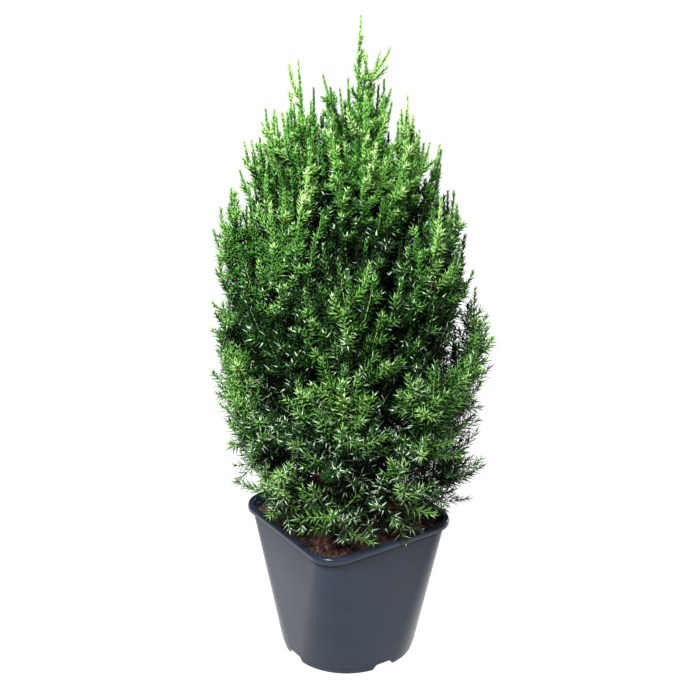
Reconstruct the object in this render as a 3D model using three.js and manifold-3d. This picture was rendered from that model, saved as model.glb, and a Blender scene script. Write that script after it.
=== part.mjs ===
// Potted juniper: a young, dense, upright shrub in a square nursery pot.
// Millimetres, +Z up. The origin is on the ground under the middle of the pot; its faces look along X and Y.
import * as THREE from "three";
import { mergeVertices } from "three/addons/utils/BufferGeometryUtils.js";
import Module from "manifold-3d";

const wasm = await Module();
wasm.setup();
const { lerp, clamp, smoothstep, degToRad } = THREE.MathUtils;
const UP = new THREE.Vector3(0, 0, 1);

// Clear gap between two pieces that rest on each other, and the steps that corners are welded and set out by
const GAP = 0.3;
const WELD = 1e-4;
const GRIDS = [0.02, 0.03, 0.05, 0.013];
const NEARLY_ALONG = 0.04;

// Pot: square with round corners at the rim, nearly round at the foot
const POT_WIDTH = 150;
const POT_HEIGHT = 143;
const POT_WALL = 1.6;
const RIM_CORNER = 24;
const RIM_HEIGHT = 6.5;
const RIM_OVERHANG = 4.5;
const RIM_ROUND = 1.8;
const RIM_BEVEL = RIM_ROUND * 0.3;
const FOOT_WIDTH = 121;
const FOOT_CORNER_SHARE = 0.92;
const FOOT_STEP_HEIGHT = 6;
const FOOT_STEP_INSET = 0.8;
const FLOOR_UNDERSIDE = 6;
const NOTCH_HEIGHT = 5;
const NOTCH_UNDER = 1;
const NOTCH_BOTTOM_WIDTH = 31;
const NOTCH_TOP_WIDTH = 23;
const INNER_CORNER_LEAST = 1;
const CORNER_STEPS = 6;

// Soil: level round the trunk, crumbly towards the wall
const SOIL_TOP = POT_HEIGHT - 10;
const SOIL_PLATEAU = 24;
const SOIL_RINGS = 5;
const SOIL_CRUMB = 3.2;
const SOIL_OPEN = 45;
const SOIL_CLEAR = 2;
const RIM_CLEAR = 1.5;

// Crown: the height of its tip, and the widest reach of its foliage from the trunk's line
const CROWN_FOOT = 140;
const CROWN_TOP = 619;
const CROWN_REACH = 126;
const CROWN_TAPER_POWER = 3.6;
const CROWN_SHOULDER_POWER = 0.78;
const CROWN_FOOT_SHARE = 0.83;
const CROWN_WIDEST = 0.42;
const CROWN_SWAY = new THREE.Vector2(5.8, -3.9);
const CROWN_SWAY_TURN = 1.1 * Math.PI;

// Trunk: leans a little to one side on its way to the leader
const TRUNK_TOP = 452;
const TRUNK_FOOT_RADIUS = 8.5;
const TRUNK_TIP_RADIUS = 2.2;
const TRUNK_TAPER_POWER = 0.8;
const TRUNK_LEAN = new THREE.Vector2(7, -4);
const LEADER_TIP = new THREE.Vector2(9, -6);
const LEADER_HANDLE = 60;
const TRUNK_SWAY = 3;
const TRUNK_BENDS = [0, 0.3, 0.65, 1];
const TRUNK_STATIONS = [0, 0.015, 0.035, 0.07, 0.12, 0.2, 0.3, 0.4, 0.5, 0.6, 0.7, 0.8, 0.9, 1];
const ROOT_FLARE = 0.55;
const ROOT_FLARE_HEIGHT = 13;
const ROOT_LOBES = 5;
const ROOT_LOBE_DEPTH = 0.22;
const TRUNK_SIDES = 10;

// Boughs in tiers: a skirt of low spreading ones, a waist, a shoulder, and a spiral of steep ones to the top.
// Turns are in degrees round the trunk; heights of foot and tip lie between the two given;
// the bend is the share of the reach, and of the rise, where a bough turns up
const TIERS = [
  { boughs: 8, firstTurn: -132, turn: 45, foot: [147, 163], tip: [200, 234], bend: [0.66, 0.12] },
  { boughs: 7, firstTurn: -79, turn: 51.4, foot: [170, 194], tip: [298, 346], bend: [0.8, 0.2] },
  { boughs: 7, firstTurn: -115, turn: 51.4, foot: [204, 240], tip: [424, 500], bend: [0.84, 0.22] },
  { boughs: 5, firstTurn: 117, turn: 137.5, foot: [256, 290], tip: [520, 596], bend: [0.84, 0.22] },
];
const REACH_SHARE = [0.95, 1.04];
const TURN_JITTER = degToRad(7);
const BOUGHS = TIERS.reduce((sum, tier) => sum + tier.boughs, 0);
const BOUGH_SHARE = 0.28;
const BOUGH_RADIUS = 3.4;
const TOP_BOUGH_RADIUS = 2.8;
const BOUGH_END_RADIUS = 2;
const BOUGH_SIDES = 5;
const BOUGH_STEPS = 3;

// Foliage: each mass is one stem in a fluted core, with sprays standing out of it,
// each spray a twig with whorls of three pointed side shoots
const STEM_TIP_RADIUS = 1.1;
const STEM_STEPS = 6;
const STEM_END = 0.7;
const STEM_SUNK = 0.02;
const LEADER_STEM_END = 0.5;
const CORE_STATIONS = [0.29, 0.34, 0.42, 0.51, 0.6, 0.7, 0.81, 0.94];
const LEADER_STATIONS = [0.03, 0.09, 0.17, 0.26, 0.36, 0.46, 0.58, 0.72];
const CORE_FILL = [0.12, 0.7, 1, 1, 1, 0.9, 0.6, 0.1];
const CORE_SIDES = 10;
const CORE_MOST = 70;
const CORE_STEP = 2;
const CORE_DEPTH = 5;
const CORE_MARGIN = 2;
const CORE_INNER_SHARE = 0.2;
const CORE_GROOVE = 0.66;
const CORE_SLANT = 0.75;
const SPRAY_TRIES = 40;
const SPRAYS_MOST = 6;
const SPRAY_SECTOR = degToRad(270);
const SPRAY_LONGEST = 112;
const SPRAY_SHORTEST = 30;
const SPRAY_SHRINK = 0.9;
const SPRAY_WIDTH_SHARE = 0.24;
const SPRAY_WIDEST = 12;
const SPRAY_NARROWEST = 1;
const SPRAY_TAPER_POWER = 0.6;
const SPRAY_SWELL = [-0.35, 0.3];
const SPRAY_BEND = 0.5;
const SPRAY_OUTER = 0.52;
const SPRAY_APART = 20;
const SPRAY_PROUD = [0.25, 9.25];
const SPRAY_CLEAR = 0.5;
const SPRAY_BARE_SHARE = 0.16;
const SPRAY_LEAFY_END = 0.95;
const SPRAY_STEM_SPAN = [0.05, 0.94];
const SPRAY_FIRST = 0.2;
const SPRAY_CLIMB = [-12, 38];
const SPRAY_CLIMB_SPREAD = 24;
const SPRAY_CLIMB_HEIGHTS = [150, 430];
const SPRAY_LIFT = [0.12, 0.72];
const SPRAY_LIFT_SPREAD = 0.2;
const TIP_BARE_SHARE = 0.05;
const TIP_SLIM = 0.8;
const TIP_RADIUS = 0.5;
const SPRAY_TWIG_RADIUS = 1.2;
const SPRAY_CORE = 3.2;
const SPRAY_CORE_SHARE = 0.36;
const SPRAY_FIRST_CORE = 0.6;
const SHOOT_FORWARD = 1.2;
const SHOOT_AHEAD = 0.12;
const WHORL_SPACING = 24;
const WHORLS_LEAST = 2;
const WHORLS_MOST = 4;
const WHORL_TURN = Math.PI / 3;
const GOLDEN_SHARE = 0.618034;

// How many straight stretches stand for a line where distances from it are taken
const MASS_STRETCHES = 8;
const BOUGH_STRETCHES = 6;
const TRUNK_STRETCHES = 12;

// Start of the seeded draws
const SEED = 18969;

// Seeded draws from 0 to 1, the same on every run
function seededDraws(seed) {
  let state = seed >>> 0;
  return () => {
    state = (state + 0x6d2b79f5) >>> 0;
    let mixed = Math.imul(state ^ (state >>> 15), 1 | state);
    mixed = (mixed + Math.imul(mixed ^ (mixed >>> 7), 61 | mixed)) ^ mixed;
    return ((mixed ^ (mixed >>> 14)) >>> 0) / 4294967296;
  };
}

// A closed skin over a stack of rings with the same number of points, each end closed to its middle.
// Each four-sided patch is split along its shorter diagonal
function loft(rings) {
  const sides = rings[0].length;
  const points = rings.flat();
  const faces = [];
  for (let row = 0; row + 1 < rings.length; row++) {
    for (let side = 0; side < sides; side++) {
      const a = row * sides + side;
      const b = row * sides + ((side + 1) % sides);
      const [c, d] = [b + sides, a + sides];
      const leaning = points[a].distanceTo(points[c]) <= points[b].distanceTo(points[d]);
      faces.push(...(leaning ? [a, b, c, a, c, d] : [a, b, d, b, c, d]));
    }
  }
  const closeEnd = (row, turned) => {
    const ring = rings[row];
    const middle = ring.reduce((sum, p) => sum.add(p), new THREE.Vector3()).divideScalar(sides);
    const hub = points.push(middle) - 1;
    for (let side = 0; side < sides; side++) {
      const a = row * sides + side;
      const b = row * sides + ((side + 1) % sides);
      faces.push(...(turned ? [hub, b, a] : [hub, a, b]));
    }
  };
  closeEnd(0, true);
  closeEnd(rings.length - 1, false);
  return new THREE.BufferGeometry().setFromPoints(points).setIndex(faces);
}

// Rings round a curve: each station gives its share of the curve, its radius and its turn
function ringsAlong(curve, stations, sides) {
  const across = new THREE.Vector3();
  return stations.map(({ share, radius, turn = 0, lobes = () => 1 }) => {
    const middle = curve.getPoint(clamp(share, 0, 1));
    const along = curve.getTangent(clamp(share, 0, 1));
    across.set(1, 0, 0).addScaledVector(along, -along.x);
    if (across.lengthSq() < NEARLY_ALONG) across.set(0, 1, 0).addScaledVector(along, -along.y);
    across.normalize();
    const sideways = new THREE.Vector3().crossVectors(along, across);
    return Array.from({ length: sides }, (_, side) => {
      const angle = turn + (2 * Math.PI * side) / sides;
      const reach = radius * lobes(angle);
      return middle
        .clone()
        .addScaledVector(across, reach * Math.cos(angle))
        .addScaledVector(sideways, reach * Math.sin(angle));
    });
  });
}

// A geometry as a solid, without faces that welding its corners has closed to nothing or laid back to back
function solidOf(geometry) {
  const merged = mergeVertices(geometry, WELD);
  const index = merged.index.array;
  const kept = new Map();
  for (let i = 0; i < index.length; i += 3) {
    const face = [...index.subarray(i, i + 3)];
    const corners = [...new Set(face)].sort((a, b) => a - b).join();
    if (new Set(face).size < 3 || kept.delete(corners)) continue;
    kept.set(corners, face);
  }
  const vertProperties = merged.attributes.position.array;
  const triVerts = new Uint32Array([...kept.values()].flat());
  return new wasm.Manifold(new wasm.Mesh({ numProp: 3, vertProperties, triVerts }));
}

// The largest body of a solid: loose scraps and sealed hollows are separate bodies and drop out
function largestBody(solid) {
  return solid.decompose().reduce((best, body) => (body.volume() > best.volume() ? body : best));
}

function geometryOf(solid) {
  const mesh = solid.getMesh();
  return new THREE.BufferGeometry()
    .setAttribute("position", new THREE.BufferAttribute(mesh.vertProperties, 3))
    .setIndex(new THREE.BufferAttribute(mesh.triVerts, 1));
}

// Whether each edge of a geometry is shared by just two faces
function edgesArePaired(geometry) {
  const index = geometry.index.array;
  const place = geometry.attributes.position;
  const corner = (k) => new THREE.Vector3().fromBufferAttribute(place, k).toArray().join();
  const uses = new Map();
  for (let i = 0; i < index.length; i += 3) {
    const names = [0, 1, 2].map((k) => corner(index[i + k]));
    for (let k = 0; k < 3; k++) {
      const edge = [names[k], names[(k + 1) % 3]].sort().join("|");
      uses.set(edge, (uses.get(edge) ?? 0) + 1);
    }
  }
  return [...uses.values()].every((count) => count === 2);
}

// A fused solid with its corners moved to a fine grid, the first of the grids that leaves every edge sound
function tidied(solid) {
  const body = largestBody(solid);
  let geometry;
  for (const grid of GRIDS) {
    geometry = geometryOf(body);
    const corners = geometry.attributes.position.array;
    corners.forEach((value, k) => (corners[k] = Math.round(value / grid) * grid));
    geometry = geometryOf(largestBody(solidOf(geometry)));
    if (edgesArePaired(geometry)) break;
  }
  return geometry;
}

// Finishes
const finishes = {
  pot: new THREE.MeshStandardMaterial({ color: 0x3d474f, roughness: 0.42, metalness: 0 }),
  soil: new THREE.MeshStandardMaterial({ color: 0x33231d, roughness: 0.95, metalness: 0 }),
  bark: new THREE.MeshStandardMaterial({ color: 0x6b4a30, roughness: 0.9, metalness: 0 }),
  needles: new THREE.MeshStandardMaterial({ color: 0x3f7d33, roughness: 0.6, metalness: 0 }),
};

const juniper = new THREE.Group();

function addNode(name, geometry, finish) {
  const mesh = new THREE.Mesh(geometry, finish);
  mesh.name = name;
  juniper.add(mesh);
}

// One level outline of the pot: a square of that half width whose corners are arcs of that radius
function potOutline(half, corner, height) {
  const points = [];
  const centre = half - corner;
  for (let k = 0; k < 4; k++) {
    const [sx, sy] = [k === 0 || k === 3 ? 1 : -1, k < 2 ? 1 : -1];
    for (let step = 0; step <= CORNER_STEPS; step++) {
      const angle = (Math.PI / 2) * (k + step / CORNER_STEPS);
      const x = sx * centre + corner * Math.cos(angle);
      const y = sy * centre + corner * Math.sin(angle);
      points.push(new THREE.Vector3(x, y, height));
    }
  }
  return points;
}

// The wall's outside at a height: its half width grows, and its corners tighten, from the foot to the rim
const WALL_TOP_HALF = POT_WIDTH / 2 - RIM_OVERHANG;
function wallAt(height) {
  const share = height / (POT_HEIGHT - RIM_HEIGHT);
  const half = lerp(FOOT_WIDTH / 2, WALL_TOP_HALF, share);
  const corner = lerp((FOOT_WIDTH / 2) * FOOT_CORNER_SHARE, RIM_CORNER - RIM_OVERHANG, share);
  return { half, corner };
}

function wallOutline(height, inset) {
  const { half, corner } = wallAt(height);
  return potOutline(half - inset, Math.max(corner - inset, INNER_CORNER_LEAST), height);
}

function rimOutline(inset, height) {
  return potOutline(POT_WIDTH / 2 - inset, RIM_CORNER - inset, height);
}

function makePot() {
  const rimUnder = POT_HEIGHT - RIM_HEIGHT;
  const rimInside = RIM_OVERHANG + POT_WALL;
  const floorTop = FLOOR_UNDERSIDE + POT_WALL;
  const shell = loft([
    wallOutline(FLOOR_UNDERSIDE, FOOT_STEP_INSET + POT_WALL),
    wallOutline(0, FOOT_STEP_INSET + POT_WALL),
    wallOutline(0, FOOT_STEP_INSET),
    wallOutline(FOOT_STEP_HEIGHT, FOOT_STEP_INSET),
    wallOutline(FOOT_STEP_HEIGHT + FOOT_STEP_INSET, 0),
    wallOutline(rimUnder, 0),
    rimOutline(RIM_BEVEL, rimUnder),
    rimOutline(0, rimUnder + RIM_ROUND / 2),
    rimOutline(0, POT_HEIGHT - RIM_ROUND),
    rimOutline(RIM_BEVEL, POT_HEIGHT - RIM_BEVEL),
    rimOutline(RIM_ROUND, POT_HEIGHT),
    rimOutline(rimInside - RIM_ROUND / 2, POT_HEIGHT),
    rimOutline(rimInside, POT_HEIGHT - RIM_ROUND / 2),
    wallOutline(rimUnder, POT_WALL),
    wallOutline(floorTop, POT_WALL),
  ]);
  // One drain notch in the foot under the middle of each face, wider at the ground
  const notch = new THREE.Shape();
  notch.moveTo(-NOTCH_BOTTOM_WIDTH / 2, -NOTCH_UNDER);
  notch.lineTo(NOTCH_BOTTOM_WIDTH / 2, -NOTCH_UNDER);
  notch.lineTo(NOTCH_TOP_WIDTH / 2, NOTCH_HEIGHT);
  notch.lineTo(-NOTCH_TOP_WIDTH / 2, NOTCH_HEIGHT);
  let pot = solidOf(shell);
  for (let side = 0; side < 4; side++) {
    const cutter = new THREE.ExtrudeGeometry(notch, { depth: POT_WIDTH / 2, bevelEnabled: false });
    cutter.deleteAttribute("normal");
    cutter.deleteAttribute("uv");
    cutter.translate(0, 0, FOOT_WIDTH / 4).rotateX(Math.PI / 2).rotateZ((side * Math.PI) / 2);
    pot = pot.subtract(solidOf(cutter));
  }
  addNode("pot", tidied(pot), finishes.pot);
}

function makeSoil() {
  const draw = seededDraws(SEED + 1);
  const inset = POT_WALL + GAP;
  const rings = [wallOutline(FLOOR_UNDERSIDE + inset, inset), wallOutline(SOIL_TOP - SOIL_CRUMB, inset)];
  const edge = rings[1];
  for (let ring = 1; ring <= SOIL_RINGS; ring++) {
    const share = ring / SOIL_RINGS;
    rings.push(
      edge.map((p) => {
        const inner = new THREE.Vector2(p.x, p.y).setLength(SOIL_PLATEAU);
        const crumb = ring === SOIL_RINGS ? 0 : SOIL_CRUMB * (draw() - 1);
        return new THREE.Vector3(lerp(p.x, inner.x, share), lerp(p.y, inner.y, share), SOIL_TOP + crumb);
      }),
    );
  }
  addNode("soil", loft(rings), finishes.soil);
}

// Trunk line and thickness
const trunkCurve = new THREE.CatmullRomCurve3(
  TRUNK_BENDS.map((share) => {
    const sway = TRUNK_SWAY * Math.sin(share * Math.PI * 2);
    return new THREE.Vector3(
      TRUNK_LEAN.x * share - sway,
      TRUNK_LEAN.y * share + sway,
      lerp(SOIL_TOP + GAP, TRUNK_TOP, share),
    );
  }),
);

function trunkShareAt(height) {
  return clamp((height - SOIL_TOP) / (TRUNK_TOP - SOIL_TOP), 0, 1);
}

function trunkRadiusAt(share) {
  const flare = ROOT_FLARE * Math.exp((-share * (TRUNK_TOP - SOIL_TOP)) / ROOT_FLARE_HEIGHT);
  return lerp(TRUNK_FOOT_RADIUS, TRUNK_TIP_RADIUS, share ** TRUNK_TAPER_POWER) * (1 + flare);
}

function trunkSolid(swell) {
  const stations = TRUNK_STATIONS.map((share) => {
    const lobe = ROOT_LOBE_DEPTH * Math.exp((-share * (TRUNK_TOP - SOIL_TOP)) / ROOT_FLARE_HEIGHT);
    return {
      share,
      radius: trunkRadiusAt(share) + swell,
      lobes: (angle) => 1 + lobe * Math.cos(ROOT_LOBES * angle),
    };
  });
  const rings = ringsAlong(trunkCurve, stations, TRUNK_SIDES);
  // The foot is cut level, just over the soil
  rings[0].forEach((point) => point.setZ(SOIL_TOP + GAP));
  return solidOf(loft(rings));
}

function crownRadiusAt(height) {
  const share = clamp((height - CROWN_FOOT) / (CROWN_TOP - CROWN_FOOT), 0, 1);
  const foot = lerp(CROWN_FOOT_SHARE, 1, Math.sin((Math.min(1, share / CROWN_WIDEST) * Math.PI) / 2));
  return CROWN_REACH * (1 - share ** CROWN_TAPER_POWER) ** CROWN_SHOULDER_POWER * foot;
}

// The middle of the crown sways from one side of the pot's line to the other on the way up
function crownMiddleAt(height) {
  const share = (height - SOIL_TOP) / (CROWN_TOP - SOIL_TOP);
  return CROWN_SWAY.clone().multiplyScalar(Math.cos(CROWN_SWAY_TURN * share));
}

// A limb's line leaves the trunk at one height, runs out, and turns up to its tip at the edge of the crown
function limbLine(turn, footHeight, tipHeight, reachShare, [bendOut, bendUp]) {
  const out = new THREE.Vector3(Math.cos(turn), Math.sin(turn), 0);
  const foot = trunkCurve.getPoint(trunkShareAt(footHeight));
  const middle = crownMiddleAt(tipHeight);
  const reach = crownRadiusAt(tipHeight) * reachShare;
  const tip = new THREE.Vector3(middle.x, middle.y, tipHeight).addScaledVector(out, reach);
  const bend = foot.clone().addScaledVector(out, reach * bendOut).setZ(lerp(footHeight, tipHeight, bendUp));
  return new THREE.QuadraticBezierCurve3(foot, bend, tip);
}

// One line for each bough and its stem, from the trunk to the mass's tip, and last the leader's
function makeLimbLines() {
  const draw = seededDraws(SEED);
  const lines = [];
  for (const tier of TIERS) {
    for (let i = 0; i < tier.boughs; i++) {
      const rise = (i * GOLDEN_SHARE) % 1;
      const turn = degToRad(tier.firstTurn + i * tier.turn) + (2 * draw() - 1) * TURN_JITTER;
      const reachShare = lerp(...REACH_SHARE, draw());
      const footHeight = lerp(...tier.foot, rise);
      const tipHeight = lerp(...tier.tip, rise);
      lines.push(limbLine(turn, footHeight, tipHeight, reachShare, tier.bend));
    }
  }
  const foot = trunkCurve.getPoint(1);
  const lead = trunkCurve.getTangent(1).multiplyScalar(LEADER_HANDLE).add(foot);
  const tip = new THREE.Vector3(LEADER_TIP.x, LEADER_TIP.y, CROWN_TOP);
  lines.push(new THREE.QuadraticBezierCurve3(foot, lead, tip));
  return lines;
}
const limbLines = makeLimbLines();
const LEADER = BOUGHS;

// The share of a limb's line where its mass begins
function massFrom(i) {
  return i === LEADER ? 0 : BOUGH_SHARE;
}

function stemEnd(i) {
  return i === LEADER ? LEADER_STEM_END : STEM_END;
}

// Straight stretches of a line, for distances
function stretches(curve, from, to, count) {
  const points = Array.from({ length: count + 1 }, (_, k) => curve.getPoint(lerp(from, to, k / count)));
  return points.slice(1).map((end, k) => new THREE.Line3(points[k], end));
}
const nearest = new THREE.Vector3();
function distanceTo(lines, point) {
  return Math.min(...lines.map((line) => line.closestPointToPoint(point, true, nearest).distanceTo(point)));
}
const massLines = limbLines.map((curve, i) => stretches(curve, massFrom(i), 1, MASS_STRETCHES));
const boughLines = limbLines.map((curve) => stretches(curve, 0, BOUGH_SHARE, BOUGH_STRETCHES));
const trunkLine = stretches(trunkCurve, 0, 1, TRUNK_STRETCHES);

// The lowest that foliage may come: over the soil inside the rim, over the rim outside it
function foliageFloorAt(point) {
  const inside = Math.max(Math.abs(point.x), Math.abs(point.y)) < SOIL_OPEN;
  return inside ? SOIL_TOP + SOIL_CLEAR : POT_HEIGHT + RIM_CLEAR;
}

// A ball of foliage keeps to its mass's space: inside the crown, over the pot, clear of every limb,
// and nearer to its own stem than to any other
function keepsToSpace(i, point, radius, proud) {
  const middle = crownMiddleAt(point.z);
  const reach = Math.hypot(point.x - middle.x, point.y - middle.y);
  if (reach + radius > crownRadiusAt(point.z) + proud) return false;
  if (point.z - radius < foliageFloorAt(point)) return false;
  const share = trunkShareAt(point.z);
  if (i !== LEADER && distanceTo(trunkLine, point) < trunkRadiusAt(share) + radius + 2 * GAP) return false;
  const own = distanceTo(massLines[i], point);
  return limbLines.every((_, j) => {
    if (j === i) return true;
    if (j !== LEADER && distanceTo(boughLines[j], point) < BOUGH_RADIUS + radius + GAP) return false;
    return distanceTo(massLines[j], point) - own > 2 * radius + 2 * GAP;
  });
}

// How wide a spray's shoots stand at a share of its length
function sprayWidthAt({ length, slim, bare }, share) {
  const leafy = (share - bare) / (1 - bare);
  const widest = Math.min(SPRAY_WIDEST, length * SPRAY_WIDTH_SHARE) * slim;
  const taper = (1 - leafy) ** SPRAY_TAPER_POWER * smoothstep(leafy, ...SPRAY_SWELL);
  return Math.max(SPRAY_NARROWEST, widest * taper);
}

// A spray's line: it leaves its stem sideways and turns upwards, the more so the higher it grows
function sprayLine(start, heading, length, lift) {
  const bend = start.clone().addScaledVector(heading, length * SPRAY_BEND);
  const end = heading.clone().multiplyScalar(1 - lift).addScaledVector(UP, lift).normalize();
  return new THREE.QuadraticBezierCurve3(start, bend, end.multiplyScalar(length * SPRAY_OUTER).add(bend));
}

// The rings of a spray: a bare twig, then a slim core with whorls of three side shoots, and a tip
function sprayRings(spray) {
  const { line, length, bare } = spray;
  const leafyLength = length * (1 - bare);
  const whorls = clamp(Math.round(leafyLength / WHORL_SPACING), WHORLS_LEAST, WHORLS_MOST);
  const stations = [{ share: 0, radius: SPRAY_TWIG_RADIUS }];
  for (let k = 0; k < whorls; k++) {
    const share = lerp(bare, SPRAY_LEAFY_END, k / whorls);
    const width = sprayWidthAt(spray, Math.min(SPRAY_LEAFY_END, share + SHOOT_AHEAD));
    const turn = -k * WHORL_TURN;
    const core = Math.min(SPRAY_CORE, width * SPRAY_CORE_SHARE) * (k === 0 ? SPRAY_FIRST_CORE : 1);
    stations.push({ share, radius: core, turn });
    const shootShare = share + (width * SHOOT_FORWARD) / length;
    stations.push({ share: shootShare, radius: width, turn: turn - WHORL_TURN });
  }
  stations.push({ share: 1, radius: TIP_RADIUS, turn: -whorls * WHORL_TURN });
  return ringsAlong(line, stations, 3);
}

function sprayFits(i, spray, proud) {
  const points = sprayRings(spray).slice(1).flat();
  return points.every((point) => keepsToSpace(i, point, SPRAY_CLEAR, proud));
}

// All the sprays of one mass, as lines with a length; the last is the tip that carries the stem on
function spraysOf(i) {
  const draw = seededDraws(SEED + 100 + i);
  const curve = limbLines[i];
  const sprays = [];
  for (let k = 0; k < SPRAY_TRIES && sprays.length < SPRAYS_MOST; k++) {
    const place = (k * GOLDEN_SHARE * GOLDEN_SHARE + SPRAY_FIRST) % 1;
    const share = lerp(massFrom(i) + SPRAY_STEM_SPAN[0], SPRAY_STEM_SPAN[1], place);
    const start = curve.getPoint(share);
    const middle = crownMiddleAt(start.z);
    const outwards = Math.atan2(start.y - middle.y, start.x - middle.x);
    const sector = i === LEADER ? 2 * Math.PI : SPRAY_SECTOR;
    const turn = outwards + (((k * GOLDEN_SHARE) % 1) - 0.5) * sector;
    const height = smoothstep(start.z, ...SPRAY_CLIMB_HEIGHTS);
    const climb = degToRad(lerp(...SPRAY_CLIMB, height) + SPRAY_CLIMB_SPREAD * (draw() - 0.5));
    const flat = new THREE.Vector3(Math.cos(turn), Math.sin(turn), 0);
    const heading = flat.multiplyScalar(Math.cos(climb)).addScaledVector(UP, Math.sin(climb));
    const lift = lerp(...SPRAY_LIFT, height) + SPRAY_LIFT_SPREAD * (draw() - 0.5);
    const proud = lerp(...SPRAY_PROUD, draw());
    for (let length = SPRAY_LONGEST; length > SPRAY_SHORTEST; length *= SPRAY_SHRINK) {
      const line = sprayLine(start, heading, length, lift);
      const spray = { line, length, slim: 1, bare: SPRAY_BARE_SHARE };
      if (!sprayFits(i, spray, proud)) continue;
      const tip = spray.line.getPoint(1);
      if (sprays.every((other) => other.line.getPoint(1).distanceTo(tip) > SPRAY_APART)) sprays.push(spray);
      break;
    }
  }
  const start = curve.getPoint(stemEnd(i));
  const tip = curve.getPoint(1);
  const bend = curve.getTangent(stemEnd(i)).multiplyScalar(start.distanceTo(tip) / 2).add(start);
  const line = new THREE.QuadraticBezierCurve3(start, bend, tip);
  sprays.push({ line, length: start.distanceTo(tip), slim: TIP_SLIM, bare: TIP_BARE_SHARE });
  return sprays;
}

// The core of a mass: rings of teeth round its stem that slant outwards and up, like packed shoots,
// each drawn out to just short of the edge of its space
function coreSolid(i) {
  const curve = limbLines[i];
  const shares = i === LEADER ? LEADER_STATIONS : CORE_STATIONS;
  const rings = ringsAlong(curve, shares.map((share) => ({ share, radius: CORE_STEP })), CORE_SIDES);
  rings.forEach((ring, row) => {
    const middle = curve.getPoint(shares[row]);
    const along = curve.getTangent(shares[row]);
    const most = CORE_MOST * CORE_FILL[row];
    ring.forEach((point, side) => {
      const ray = point.clone().sub(middle).normalize().addScaledVector(along, CORE_SLANT).normalize();
      const fits = (reach) => coreFits(i, middle.clone().addScaledVector(ray, reach));
      let free = CORE_STEP;
      while (free < most && fits(free + CORE_STEP)) free += CORE_STEP;
      const tooth = (row + side) % 2 ? CORE_GROOVE : 1;
      point.copy(middle).addScaledVector(ray, free * tooth);
    });
  });
  return solidOf(loft(rings));
}

function coreFits(i, point) {
  const middle = crownMiddleAt(point.z);
  const reach = Math.hypot(point.x - middle.x, point.y - middle.y);
  if (i !== LEADER && reach < CORE_INNER_SHARE * crownRadiusAt(point.z)) return false;
  return keepsToSpace(i, point, CORE_MARGIN, -CORE_DEPTH);
}

function stemSolid(i) {
  const from = massFrom(i);
  const to = stemEnd(i) + STEM_SUNK;
  const curve = limbLines[i];
  const start = from + GAP / curve.getLength();
  const stations = Array.from({ length: STEM_STEPS + 1 }, (_, k) => {
    const share = k / STEM_STEPS;
    return { share: lerp(start, to, share), radius: lerp(BOUGH_END_RADIUS, STEM_TIP_RADIUS, share) };
  });
  return solidOf(loft(ringsAlong(curve, stations, 3)));
}

function makeTrunkAndBoughs() {
  addNode("trunk", geometryOf(trunkSolid(0)), finishes.bark);
  const trunkRoom = trunkSolid(GAP);
  for (let i = 0; i < BOUGHS; i++) {
    const footRadius = i < BOUGHS - TIERS.at(-1).boughs ? BOUGH_RADIUS : TOP_BOUGH_RADIUS;
    const stations = Array.from({ length: BOUGH_STEPS + 1 }, (_, k) => {
      const share = k / BOUGH_STEPS;
      return { share: share * BOUGH_SHARE, radius: lerp(footRadius, BOUGH_END_RADIUS, share) };
    });
    const limb = solidOf(loft(ringsAlong(limbLines[i], stations, BOUGH_SIDES)));
    addNode(nodeName("bough", i), tidied(limb.subtract(trunkRoom)), finishes.bark);
  }
}

function nodeName(kind, i) {
  return i === LEADER ? `${kind}_leader` : `${kind}_${String(i + 1).padStart(2, "0")}`;
}

function makeFoliage() {
  limbLines.forEach((_, i) => {
    const core = stemSolid(i).add(coreSolid(i));
    const mass = spraysOf(i).reduce((solid, spray) => solid.add(solidOf(loft(sprayRings(spray)))), core);
    addNode(nodeName("foliage", i), tidied(mass), finishes.needles);
  });
}

makePot();
makeSoil();
makeTrunkAndBoughs();
makeFoliage();

export default juniper;
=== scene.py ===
import math

import bmesh
import bpy
import numpy as np
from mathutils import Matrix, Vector


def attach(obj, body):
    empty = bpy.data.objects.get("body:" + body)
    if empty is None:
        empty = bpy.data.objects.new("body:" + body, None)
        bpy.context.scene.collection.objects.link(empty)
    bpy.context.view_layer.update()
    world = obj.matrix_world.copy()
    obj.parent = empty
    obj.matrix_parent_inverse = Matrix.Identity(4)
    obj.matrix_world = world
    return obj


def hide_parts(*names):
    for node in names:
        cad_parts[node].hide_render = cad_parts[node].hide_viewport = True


# A potted juniper: a young, dense, upright shrub with short sharp needles in a square nursery pot.
# Metres, +Z up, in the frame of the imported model; sizes of growing things are written in millimetres.
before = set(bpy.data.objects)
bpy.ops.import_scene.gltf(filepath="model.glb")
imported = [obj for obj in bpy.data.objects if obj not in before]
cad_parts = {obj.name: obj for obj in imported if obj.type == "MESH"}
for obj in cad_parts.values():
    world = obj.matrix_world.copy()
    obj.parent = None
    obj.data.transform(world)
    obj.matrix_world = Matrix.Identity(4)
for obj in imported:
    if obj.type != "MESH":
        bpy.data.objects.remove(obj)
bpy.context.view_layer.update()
MM = 0.001

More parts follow.
